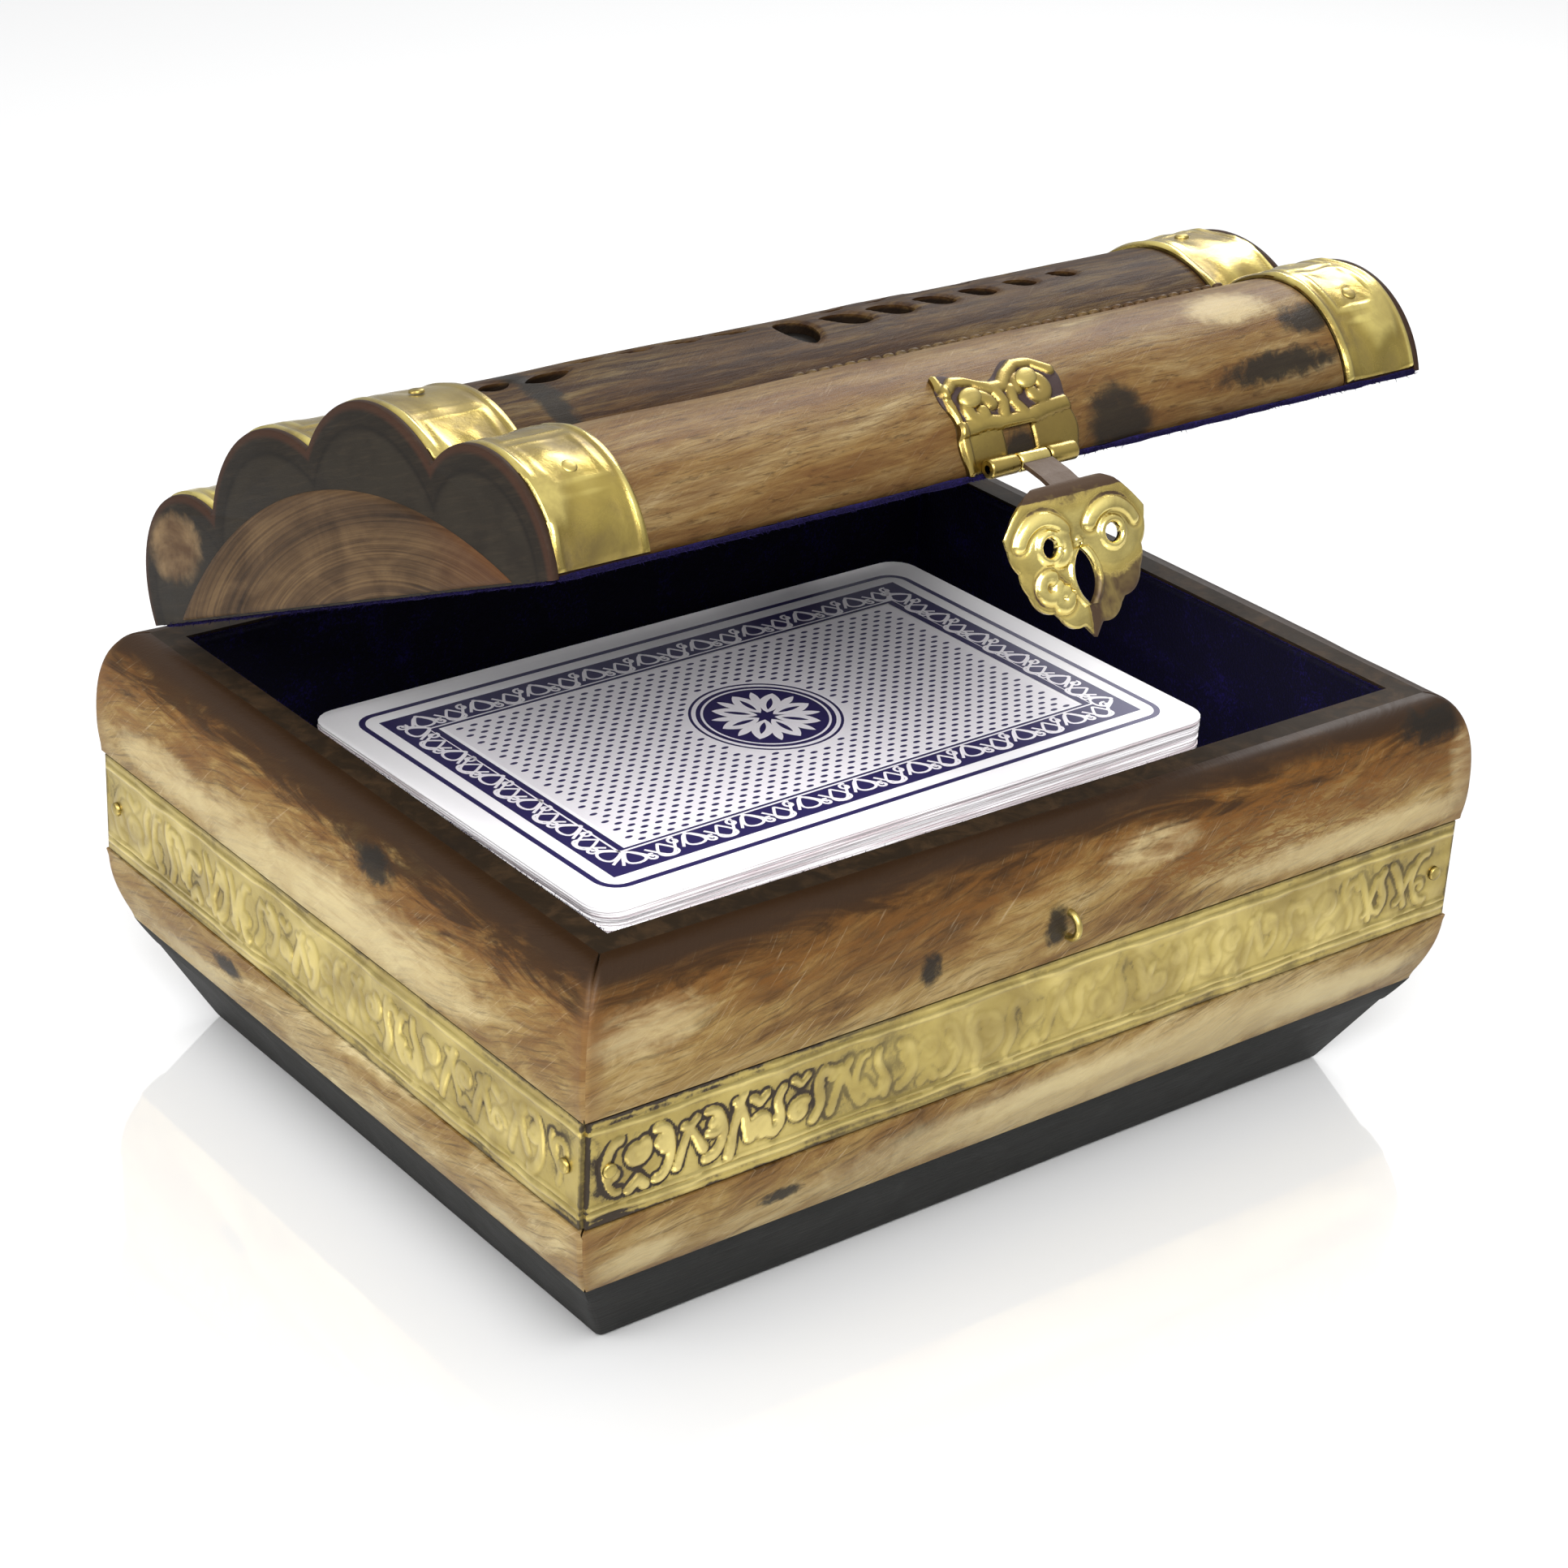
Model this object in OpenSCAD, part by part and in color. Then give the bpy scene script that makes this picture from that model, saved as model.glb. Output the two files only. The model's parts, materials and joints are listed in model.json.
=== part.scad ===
// Bone-veneered casket for playing cards: a velvet-lined wooden box on a black plinth, with a
// four-lobed hinged lid, an embossed brass band, brass end straps and a brass hasp over a wire keeper.
// Two stacked decks of bridge-size cards lie inside. Millimetres, +Z up, front towards -Y, origin at
// the centre of the underside. The lid is drawn part open, at the angle lid_open.

/* [Box] */
// Length over the brass band
box_l = 124; // [118:0.5:140]
// Width over the brass band
box_w = 98.4; // [94:0.2:110]
// Height of the black plinth, up to the face that the walls stand on
plinth_h = 9.1; // [8:0.1:11]
// Height at which the lower bone starts, on top of the walls' foot rail
bone_z = 12.2; // [11:0.1:14]
// How far the foot of the plinth stands inside the band
foot_inset = 9.2; // [7:0.1:10]
// How far the top of the plinth stands inside the band
waist_inset = 4.1; // [3:0.1:4.2]
// Height at which the brass band starts
band_z = 21.4; // [20:0.1:23]
// Height of the brass band
band_h = 12.2; // [10:0.1:14]
// Thickness of the brass band
band_t = 0.8; // [0.5:0.1:1.2]
// Height of the wooden rim
rim_z = 49.4; // [48:0.1:54]
// Swell of the upper bone course beyond the band
bulge = 0.5; // [0:0.1:1]
// Inset of the outer face of the wooden walls
core_out = 4.4; // [4.3:0.1:5]
// Inset of the inner face of the wooden walls
core_in = 7.4; // [7:0.1:9]
// Thickness of the velvet lining
lining_t = 0.8; // [0.4:0.1:1]
// Dark gap left between veneer pieces
seam = 0.3; // [0.1:0.05:0.5]

/* [Lid] */
// Angle at which the lid stands open
lid_open = 23.5; // [0:0.5:100]
// Distance of the hinge axis behind the centre of the box
hinge_y = 45.3; // [44.5:0.1:46]
// Height of the hinge axis, which is also the closed lid's underside
hinge_z = 50; // [49.8:0.1:55]
// Half length of the lid over its end boards
lid_half_l = 58.6; // [56:0.1:60]
// Back lobe: distance from the hinge axis, height of its centre, radius
lobe_back = [16, 2, 12.1]; // [1:0.1:90]
// Second lobe: distance from the hinge axis, height of its centre, radius
lobe_mid_back = [38.2, 2.4, 16.9]; // [1:0.1:90]
// Third lobe: distance from the hinge axis, height of its centre, radius
lobe_mid_front = [58.4, 4.5, 15.7]; // [1:0.1:90]
// Front lobe: distance from the hinge axis, height of its centre, radius
lobe_front = [77.8, 2, 12.1]; // [1:0.1:90]
// Thickness of the bone covers on the lobes
cover_t = 1.4; // [1:0.1:2]
// Width of the brass end straps
strap_w = 10.6; // [8:0.1:14]
// Thickness of the straps and the hasp plate
strap_t = 0.5; // [0.4:0.1:0.8]
// Depth of the velvet-lined recess under the lid
recess_h = 7; // [5:0.1:8]
// Length of the half-moon bone tile along the foot of each lid end
tile_l = 72; // [60:0.5:74]
// Height of the half-moon bone tile
tile_h = 12; // [8:0.5:13]

/* [Hinges] */
// Distance of each hinge from the middle of the back
hinge_x = 33; // [20:0.5:40]
// Width of a hinge
hinge_w = 14; // [10:0.5:18]
// Radius of the hinge barrel
barrel_r = 1.3; // [1.2:0.05:1.4]
// Radius of the hinge pin
hinge_pin_r = 0.6; // [0.5:0.05:0.7]
// Thickness of the hinge leaves
leaf_t = 0.6; // [0.4:0.05:0.6]

/* [Hasp] */
// Width of the hasp plate
plate_w = 16.2; // [14:0.1:18]
// Height of the hasp plate's top edge on the lid
plate_top = 11.4; // [10:0.1:12]
// Width of each of the three knuckles
knuckle_w = 3.9; // [3:0.1:4.5]
// Radius of the knuckles
knuckle_r = 1.05; // [0.9:0.05:1.2]
// Radius of the hasp pin
hasp_pin_r = 0.45; // [0.4:0.05:0.5]
// Distance of the hasp pin from the lid's hinge axis
hasp_u = 90.75; // [90.6:0.05:90.8]
// Height of the hasp pin above the lid's underside
hasp_v = 0.6; // [0:0.1:1]
// Length of the flap from its pin to its tip
flap_l = 18.9; // [17:0.1:20]
// How far the flap's leaf stands forward of its pin
flap_step = 4.9; // [4.8:0.1:6]
// Thickness of the flap
flap_t = 0.5; // [0.4:0.1:0.6]
// Distance of the slot's middle from the pin
slot_s = 12.5; // [12:0.1:13]
// Half length of the pointed slot
slot_hl = 2.95; // [2.8:0.05:3.2]
// Half width of the pointed slot
slot_hw = 1.45; // [1.3:0.05:1.6]

/* [Cards] */
// Length of a card
card_l = 88.9; // [80:0.1:92]
// Width of a card
card_w = 57.15; // [50:0.05:64]
// Corner radius of a card
card_r = 3.2; // [2:0.1:4]
// Thickness of one card
card_t = 0.289; // [0.25:0.001:0.32]
// Number of cards in one deck
deck_n = 54; // [50:1:56]

/* [Hidden] */
$fn = 96;

FRONT = 0;
RIGHT = 1;
BACK = 2;
LEFT = 3;

bone = [0.66, 0.53, 0.36];
dark_bone = [0.36, 0.25, 0.15];
brass = [0.80, 0.66, 0.28];
black_wood = [0.12, 0.12, 0.11];
dark_wood = [0.22, 0.18, 0.15];
velvet = [0.07, 0.06, 0.16];
card_white = [0.93, 0.92, 0.94];

big = 200;                              // larger than anything here, for half spaces
band_top = band_z + band_h;
half_l = box_l / 2;
half_w = box_w / 2;
steps = 14;                             // steps along each curved outline
belly_z = 20.5;                         // height where the lower bone course reaches the band's face
bulge_z = 38.5;                         // height where the upper bone course is widest
round_p = 2.4;                          // roundness of the shoulder of the upper bone course

lobes = [lobe_back, lobe_mid_back, lobe_mid_front, lobe_front];
splits = [
    -big,
    valley(lobe_back, lobe_mid_back),
    valley(lobe_mid_back, lobe_mid_front),
    valley(lobe_mid_front, lobe_front),
    big
];
cover_r = strap_t;                      // the covers' outer radius is smaller than the lobe's by this
rod_r = strap_t + cover_t;              // the rods' radius is smaller than the lobe's by this
block_x = lid_half_l - 0.8;             // where the end blocks stop and their thin flanges start
strap_x = block_x - strap_w;            // inner edge of the straps and the end blocks
lid_lining_t = 0.35;                    // thickness of the velvet under the lid
tile_t = 0.9;                           // thickness of the half-moon tile
tile_sink = 0.6;                        // how deep the tile is let into the end board
tile_r = (tile_l * tile_l / 4 + tile_h * tile_h) / (2 * tile_h);
tile_u = 46.9;                          // middle of the tile, from the hinge axis

play = 0.06;                            // radial play of a pin in the knuckle that turns on it
joint_gap = 0.2;                        // side gap between neighbouring knuckles
pocket_gap = 0.4;                       // room around the hinge barrels in the back
leaf_start = barrel_r + 0.3;            // where the leaves clear the other leaf's knuckles
nail_r = 0.35;                          // radius of the small nails
head_r = 0.8;                           // radius of their heads
head_h = 0.3;                           // thickness of their heads

keeper_z = hinge_z + hasp_v - slot_s;   // middle of the keeper, where the slot comes to rest
keeper_r = 1.45;                        // radius of the keeper's bend, to the middle of the wire
wire_r = 0.42;                          // radius of the keeper's wire
keeper_y = -(half_w + bulge) - 0.1;     // where the straight legs end and the bend starts
keeper_in = 5;                          // length of the keeper's legs

floor_z = plinth_h + lining_t;
deck_z = floor_z + 0.1;                 // underside of the lower deck
deck_h = deck_n * card_t;
deck_yaw = 1.2;                         // the stack lies a little askew
deck_y = 3.5;                           // and nearer to the back wall than to the front

function lower_inset(z) =
    z > belly_z ? 0 : waist_inset * pow((belly_z - z) / (belly_z - plinth_h), 1.9);
function upper_inset(z) =
    z < bulge_z
    ? -bulge * (1 - pow((bulge_z - z) / (bulge_z - band_top), 2))
    : core_out - (core_out + bulge) * pow(1 - pow((z - bulge_z) / (rim_z - bulge_z), round_p), 1 / round_p);
function level(z0, z1, i) = z0 + (z1 - z0) * i / steps;
// Levels that crowd together near the shoulder, where the outline turns fastest
function shoulder_level(z0, z1, i) = z0 + (z1 - z0) * sin(90 * i / steps);

lower_profile = concat(
    [[core_out, band_z - seam], [core_out, bone_z]],
    [for (i = [0:steps]) let (z = level(bone_z, band_z - seam, i)) [lower_inset(z), z]]
);
upper_profile = concat(
    [[core_out, band_top + seam]],
    [for (i = [0:steps]) let (z = level(band_top + seam, bulge_z, i)) [upper_inset(z), z]],
    [for (i = [1:steps]) let (z = shoulder_level(bulge_z, rim_z, i)) [upper_inset(z), z]]
);
// The wall has a foot rail under the lower bone and another rail behind the band
wall_profile = concat(
    [[core_in, plinth_h]],
    [for (i = [0:steps]) let (z = level(plinth_h, bone_z, i)) [lower_inset(z), z]],
    [[core_out, bone_z], [core_out, band_z], [band_t, band_z], [band_t, band_top]],
    [[core_out, band_top], [core_out, rim_z], [core_in, rim_z]]
);
band_profile = [[band_t, band_z], [0, band_z], [0, band_top], [band_t, band_top]];
lining_profile = [
    [core_in + lining_t, floor_z], [core_in, floor_z], [core_in, rim_z - 0.4],
    [core_in + lining_t, rim_z - 0.4]
];

// Distance from the hinge axis at which two neighbouring lobes meet
function valley(a, b) =
    let (
        d = norm([b[0] - a[0], b[1] - a[1]]),
        k = (d * d + a[2] * a[2] - b[2] * b[2]) / (2 * d),
        h = sqrt(a[2] * a[2] - k * k)
    )
    a[0] + k * (b[0] - a[0]) / d - h * (b[1] - a[1]) / d;

// ---------------------------------------------------------------- helpers

// Extrudes a (y, z) outline along X
module along_x(x0, x1) {
    translate([x0, 0, 0]) rotate([90, 0, 90]) linear_extrude(x1 - x0) children();
}

// Extrudes a (y, z) outline from x0 to x1 on the right, or over the same stretch on the left
module along_end(side, x0, x1) {
    along_x(side < 0 ? -x1 : x0, side < 0 ? -x0 : x1) children();
}

// Half the distance between opposite band faces, for the side that faces front, right, back or left
function half_of(side) = side % 2 == 0 ? half_w : half_l;

// One mitred side of the box from its outline of [inset, z] points
module side_piece(side, profile, gap = 0) {
    half = half_of(side);
    run = half_of(side + 1) - gap;
    reach = 20;
    rotate([0, 0, 90 * side]) intersection() {
        along_x(-big, big) polygon([for (p = profile) [p[0] - half, p[1]]]);
        linear_extrude(big) polygon([
            [-run - reach, -half - reach], [run + reach, -half - reach],
            [run - reach, -half + reach], [-run + reach, -half + reach]
        ]);
    }
}

// Moves the closed lid's frame, which starts at the hinge axis, to its open place
module lid_place() {
    translate([0, hinge_y, hinge_z]) rotate([-lid_open, 0, 0]) children();
}

// One lobe's disc in the lid's section, smaller than the lobe by shrink
module lobe_disc(i, shrink = 0) {
    translate([-lobes[i][0], lobes[i][1]]) circle(lobes[i][2] - shrink);
}

// The part of the lid's section that belongs to one lobe, above height v
module lobe_zone(i, v) {
    translate([-min(splits[i + 1], big), v]) square([min(splits[i + 1], big) - splits[i], big]);
}

// Whole lobed outline of the lid
module lid_outline(shrink = 0) {
    intersection() {
        union() for (i = [0:3]) lobe_disc(i, shrink);
        translate([-big, 0]) square([big, big]);
    }
}

// Places a nail on a lobe at a given angle above the front, at x, pointing into the lid
module on_lobe(i, angle, x, shrink = 0) {
    translate([x, -lobes[i][0], lobes[i][1]])
        rotate([-angle, 0, 0])
            translate([0, -(lobes[i][2] - shrink), 0])
                rotate([-90, 0, 0]) children();
}

// A flat-headed nail with its shank towards +Z and its head standing on the surface
module nail(shank, r = nail_r, hr = head_r, hh = head_h) {
    translate([0, 0, -hh]) {
        cylinder(h = hh + shank, r = r);
        cylinder(h = hh, r = hr);
    }
}

// ---------------------------------------------------------------- box

// Cross-section of the plinth between two sides that are each that far from the centre
module plinth_section(half) {
    polygon([
        [foot_inset - half, 0], [half - foot_inset, 0],
        [half - waist_inset, plinth_h], [waist_inset - half, plinth_h]
    ]);
}

module plinth() {
    color(black_wood) intersection() {
        along_x(-half_l, half_l) plinth_section(half_w);
        rotate([0, 0, 90]) along_x(-half_w, half_w) plinth_section(half_l);
    }
}

module wall(side) {
    color(dark_wood) difference() {
        side_piece(side, wall_profile);
        if (side == FRONT) keeper_legs();
        if (side == BACK) {
            hinge_pockets();
            for (x = [-hinge_x, hinge_x]) base_leaf_plate(x, hinge_y);
            base_nail_shanks();
        }
        band_nail_shanks();
    }
}

module lower_bone(side) {
    color(bone) side_piece(side, lower_profile, seam / 2);
}

module upper_bone(side) {
    color(bone) difference() {
        side_piece(side, upper_profile, seam / 2);
        if (side == FRONT) keeper_legs();
        if (side == BACK) hinge_pockets();
    }
}

module band(side) {
    color(brass) difference() {
        side_piece(side, band_profile, 2 * seam);
        band_nail_shanks();
    }
}

// Calls its child at each band nail, with +Z pointing into the box
module at_band_nails() {
    edge = 3.2;
    for (side = [FRONT:LEFT], end = [-1, 1])
        rotate([0, 0, 90 * side])
            translate([end * (half_of(side + 1) - edge), -half_of(side), band_z + band_h / 2])
                rotate([-90, 0, 0]) children();
}

module band_nail_shanks() {
    at_band_nails() cylinder(h = 3, r = nail_r);
}

module band_nails() {
    color(brass) at_band_nails() nail(3);
}

module keeper_legs() {
    for (z = [-keeper_r, keeper_r])
        translate([0, keeper_y, keeper_z + z]) rotate([-90, 0, 0]) cylinder(h = keeper_in, r = wire_r);
}

module keeper_staple() {
    color(brass) union() {
        keeper_legs();
        translate([0, keeper_y, keeper_z]) rotate([0, -90, 180])
            rotate_extrude(angle = 180) translate([keeper_r, 0]) circle(wire_r);
    }
}

module lining_floor() {
    color(velvet) translate([core_in - half_l, core_in - half_w, plinth_h])
        cube([box_l - 2 * core_in, box_w - 2 * core_in, lining_t]);
}

module lining(side) {
    color(velvet) side_piece(side, lining_profile);
}

// ---------------------------------------------------------------- hinges

// A cylinder along X on the lid's hinge axis
module hinge_round(x0, x1, r) {
    translate([x0, hinge_y, hinge_z]) rotate([0, 90, 0]) cylinder(h = x1 - x0, r = r);
}

module hinge_pockets() {
    for (x = [-hinge_x, hinge_x])
        hinge_round(x - hinge_w / 2 - pocket_gap, x + hinge_w / 2 + pocket_gap, barrel_r + pocket_gap);
}

// The fixed leaf's flat plate, which lies in the rim and ends at y1
module base_leaf_plate(x, y1 = hinge_y - leaf_start) {
    y0 = half_w - core_in + 0.2;
    translate([x - hinge_w / 2, y0, rim_z - leaf_t]) cube([hinge_w, y1 - y0, leaf_t]);
}

module at_base_nails() {
    for (x = [-hinge_x, hinge_x], end = [-1, 1])
        translate([x + end * (hinge_w / 2 - 2.2), half_w - core_in + 1.1, rim_z - head_h])
            rotate([180, 0, 0]) children();
}

module base_nail_shanks() {
    at_base_nails() cylinder(h = 6, r = nail_r);
}

module hinge_base(x) {
    knuckle_x = hinge_w / 6 + joint_gap / 2;
    color(brass) difference() {
        union() {
            base_leaf_plate(x);
            for (end = [-1, 1]) {
                x0 = end < 0 ? x - hinge_w / 2 : x + knuckle_x;
                hinge_round(x0, x0 + hinge_w / 2 - knuckle_x, barrel_r);
                translate([x0, hinge_y - leaf_start, rim_z - leaf_t])
                    cube([hinge_w / 2 - knuckle_x, leaf_start, leaf_t]);
            }
        }
        hinge_round(x - hinge_w, x + hinge_w, hinge_pin_r);
        at_base_nails() {
            cylinder(h = 6, r = nail_r);
            translate([0, 0, -1]) cylinder(h = 1, r = head_r);
        }
    }
}

module hinge_pin(x) {
    color(brass) hinge_round(x - hinge_w / 2, x + hinge_w / 2, hinge_pin_r);
}

module hinge_base_nails() {
    color(brass) at_base_nails() nail(6, nail_r, head_r, head_h - 0.02);
}

// The lid leaf's flat plate, in the closed lid's frame
module lid_leaf_plate(x) {
    depth = 8.4;
    translate([x - hinge_w / 2, -leaf_start - depth, 0]) cube([hinge_w, depth, leaf_t]);
}

module at_lid_nails() {
    for (x = [-hinge_x, hinge_x], end = [-1, 1])
        translate([x + end * (hinge_w / 2 - 2.2), -leaf_start - 5.4, head_h]) children();
}

module hinge_lid(x) {
    half = hinge_w / 6 - joint_gap / 2;
    color(brass) lid_place() difference() {
        union() {
            lid_leaf_plate(x);
            translate([x - half, -leaf_start, 0]) cube([2 * half, leaf_start, leaf_t]);
            translate([x - half, 0, 0]) rotate([0, 90, 0]) cylinder(h = 2 * half, r = barrel_r);
        }
        translate([x - hinge_w, 0, 0]) rotate([0, 90, 0]) cylinder(h = 2 * hinge_w, r = hinge_pin_r + play);
        at_lid_nails() {
            cylinder(h = 6, r = nail_r);
            translate([0, 0, -1]) cylinder(h = 1, r = head_r);
        }
    }
}

module hinge_lid_nails() {
    color(brass) lid_place() at_lid_nails() nail(6, nail_r, head_r, head_h - 0.02);
}

// ---------------------------------------------------------------- lid

// The half-moon's outline, in the lid's section
module tile_outline() {
    intersection() {
        translate([-tile_u, tile_h - tile_r]) circle(tile_r);
        translate([-big, 0.3]) square([big, big]);
    }
}

// One lid end: a thick lobed block under the strap, with a thin flange that ends flush with it
module lid_end(side) {
    color(black_wood) lid_place() difference() {
        union() {
            along_end(side, strap_x, block_x) lid_outline(strap_t);
            along_end(side, block_x, lid_half_l) lid_outline();
        }
        along_end(side, lid_half_l - tile_sink, lid_half_l + 1) tile_outline();
        strap_nail_shanks();
    }
}

module lid_tile(side) {
    x0 = lid_half_l - tile_sink;
    color(bone) lid_place() along_end(side, x0, x0 + tile_t) tile_outline();
}

// The outer lobes reach down to the underside, the middle two stop above the recess
function base_v(i) = i == 0 || i == 3 ? 0 : recess_h;

module lid_rod(i) {
    color(black_wood) lid_place() difference() {
        along_x(-strap_x, strap_x) intersection() {
            lobe_disc(i, rod_r);
            lobe_zone(i, base_v(i));
        }
        lid_cuts(i);
    }
}

module lid_cover(i, tone) {
    color(tone) lid_place() difference() {
        along_x(-strap_x, strap_x) intersection() {
            difference() {
                lobe_disc(i, cover_r);
                lobe_disc(i, rod_r);
            }
            lobe_zone(i, base_v(i));
        }
        lid_cuts(i);
    }
}

// What is let into the back and front lobes: the hinge leaves and the hasp's nails
module lid_cuts(i) {
    if (i == 0) {
        for (x = [-hinge_x, hinge_x]) lid_leaf_plate(x);
        at_lid_nails() cylinder(h = 6, r = nail_r);
    }
    if (i == 3) hasp_nail_shanks();
}

module lid_strap(side) {
    color(brass) lid_place() difference() {
        along_end(side, strap_x, block_x) difference() {
            lid_outline();
            lid_outline(strap_t);
            translate([-big, -1]) square([big, 1.3]);
        }
        strap_nail_shanks();
    }
}

// Calls its child at each strap nail: one nail near the top of every lobe of both straps
module at_strap_nails() {
    for (side = [-1, 1], i = [0:3])
        on_lobe(i, [134, 99, 77, 41][i], side * (strap_x + block_x) / 2) children();
}

module strap_nail_shanks() {
    at_strap_nails() cylinder(h = 4, r = nail_r);
}

module lid_strap_nails() {
    color(brass) lid_place() at_strap_nails() nail(4);
}

// A flat velvet strip under the lid, from distance u0 to u1 from the hinge axis
module under_lid(x0, x1, u0, u1) {
    translate([x0, -u1, -lid_lining_t]) cube([x1 - x0, u1 - u0, lid_lining_t]);
}

module lid_lining_front() {
    u0 = splits[3];
    color(velvet) lid_place() union() {
        under_lid(-block_x, block_x, u0 - lid_lining_t, lobe_front[0] + lobe_front[2] - rod_r);
        translate([-strap_x, -u0, -lid_lining_t]) cube([2 * strap_x, lid_lining_t, recess_h]);
    }
}

module lid_lining_back() {
    u1 = splits[1];
    color(velvet) lid_place() union() {
        under_lid(-block_x, block_x, lobe_back[0] - lobe_back[2] + rod_r, u1 + lid_lining_t);
        translate([-strap_x, -u1 - lid_lining_t, -lid_lining_t]) cube([2 * strap_x, lid_lining_t, recess_h]);
    }
}

module lid_lining_side(side) {
    u0 = splits[1] + lid_lining_t;
    u1 = splits[3] - lid_lining_t;
    color(velvet) lid_place() mirror([side < 0 ? 1 : 0, 0, 0]) union() {
        under_lid(strap_x - lid_lining_t, block_x, u0, u1);
        translate([strap_x - lid_lining_t, -u1, -lid_lining_t]) cube([lid_lining_t, u1 - u0, recess_h]);
    }
}

module lid_lining_top() {
    color(velvet) lid_place() translate([-strap_x, -splits[3], recess_h - lid_lining_t])
        cube([2 * strap_x, splits[3] - splits[1], lid_lining_t]);
}

// ---------------------------------------------------------------- hasp

// A cylinder along X on the hasp's pin axis, in the closed lid's frame
module hasp_round(x0, x1, r) {
    translate([x0, -hasp_u, hasp_v]) rotate([0, 90, 0]) cylinder(h = x1 - x0, r = r);
}

module at_hasp_nails() {
    on_lobe(3, 29, -4.6) children();
    on_lobe(3, 33, 3.5) children();
}

module hasp_nail_shanks() {
    at_hasp_nails() cylinder(h = 6, r = nail_r);
}

// Curved plate on the front lobe with two knuckles and a window between them
module hasp_plate() {
    window_w = knuckle_w / 2 + joint_gap;
    color(brass) lid_place() difference() {
        union() {
            along_x(-plate_w / 2, plate_w / 2) intersection() {
                difference() {
                    lobe_disc(3);
                    lobe_disc(3, strap_t);
                }
                translate([-big, hasp_v - 0.4]) square([big - lobe_front[0], plate_top - hasp_v + 0.4]);
            }
            for (x = [-1.5 * knuckle_w, knuckle_w / 2 + joint_gap])
                hasp_round(x, x + knuckle_w - joint_gap, knuckle_r);
        }
        hasp_round(-big, big, hasp_pin_r);
        translate([-window_w, -hasp_u - 2, -1]) cube([2 * window_w, 4, 4.6]);
        hasp_nail_shanks();
    }
}

module hasp_nails() {
    color(brass) lid_place() at_hasp_nails() nail(6, nail_r, 1.25, 0.45);
}

module hasp_pin() {
    color(brass) lid_place() hasp_round(-1.5 * knuckle_w, 1.5 * knuckle_w, hasp_pin_r);
}

// The leaf's scalloped outline, with s counted downwards from the pin
module leaf_outline() {
    scallops = [[4.9, 7.4, 4.6], [3.9, 11.3, 4.3], [1.9, 14.3, 3.1], [0, 15.6, 2.2]];
    shoulder = 3.3;
    difference() {
        union() {
            for (c = scallops, end = [-1, 1]) translate([end * c[0], -c[1]]) circle(c[2]);
            translate([-6.6, -9]) square([13.2, 9 - shoulder]);
            polygon([[-1.6, -17], [1.6, -17], [0, -flap_l]]);
        }
        for (end = [-1, 1]) translate([end * 4.35, -8.8]) circle(1);
        slot_outline();
        translate([-big / 2, -shoulder]) square(big);
    }
}

// A pointed oval between two arcs
module slot_outline() {
    r = (slot_hl * slot_hl + slot_hw * slot_hw) / (2 * slot_hw);
    intersection_for (end = [-1, 1]) translate([end * (r - slot_hw), -slot_s]) circle(r);
}

module hasp_flap() {
    half = knuckle_w / 2;
    neck_s = 3.9;
    color(brass) lid_place() translate([0, -hasp_u, hasp_v]) difference() {
        union() {
            rotate([0, 90, 0]) translate([0, 0, -half]) cylinder(h = knuckle_w, r = knuckle_r);
            along_x(-half, half) polygon([
                [-0.3, -0.7], [-0.9, -0.1], [-flap_step - flap_t / 2, 0.5 - neck_s],
                [-flap_step - flap_t / 2, -neck_s], [flap_t / 2 - flap_step, -neck_s]
            ]);
            translate([0, flap_t / 2 - flap_step, 0]) rotate([90, 0, 0])
                linear_extrude(flap_t) leaf_outline();
        }
        rotate([0, 90, 0]) translate([0, 0, -big / 2]) cylinder(h = big, r = hasp_pin_r + play);
    }
}

// ---------------------------------------------------------------- cards

// A pack of cards as one block with rounded corners
module deck(z, yaw) {
    color(card_white) translate([0, deck_y, z]) rotate([0, 0, yaw]) linear_extrude(deck_h - 0.02) union() {
        square([card_l - 2 * card_r, card_w], center = true);
        square([card_l, card_w - 2 * card_r], center = true);
        for (x = [-1, 1], y = [-1, 1])
            translate([x * (card_l / 2 - card_r), y * (card_w / 2 - card_r)]) circle(card_r);
    }
}

// ---------------------------------------------------------------- nodes

plinth();
wall(FRONT);  // wall_front
wall(RIGHT);  // wall_right
wall(BACK);  // wall_back
wall(LEFT);  // wall_left
lower_bone(FRONT);  // lower_bone_front
lower_bone(RIGHT);  // lower_bone_right
lower_bone(BACK);  // lower_bone_back
lower_bone(LEFT);  // lower_bone_left
band(FRONT);  // band_front
band(RIGHT);  // band_right
band(BACK);  // band_back
band(LEFT);  // band_left
upper_bone(FRONT);  // upper_bone_front
upper_bone(RIGHT);  // upper_bone_right
upper_bone(BACK);  // upper_bone_back
upper_bone(LEFT);  // upper_bone_left
band_nails();
keeper_staple();
lining_floor();
lining(FRONT);  // lining_front
lining(RIGHT);  // lining_right
lining(BACK);  // lining_back
lining(LEFT);  // lining_left
hinge_base(-hinge_x);  // hinge_base_left
hinge_base(hinge_x);  // hinge_base_right
hinge_pin(-hinge_x);  // hinge_pin_left
hinge_pin(hinge_x);  // hinge_pin_right
hinge_base_nails();
hinge_lid(-hinge_x);  // hinge_lid_left
hinge_lid(hinge_x);  // hinge_lid_right
hinge_lid_nails();
lid_end(-1);  // lid_end_left
lid_end(1);  // lid_end_right
lid_tile(-1);  // lid_tile_left
lid_tile(1);  // lid_tile_right
lid_rod(0);  // lid_rod_back
lid_rod(1);  // lid_rod_mid_back
lid_rod(2);  // lid_rod_mid_front
lid_rod(3);  // lid_rod_front
lid_cover(0, bone);  // lid_cover_back
lid_cover(1, dark_bone);  // lid_cover_mid_back
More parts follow.
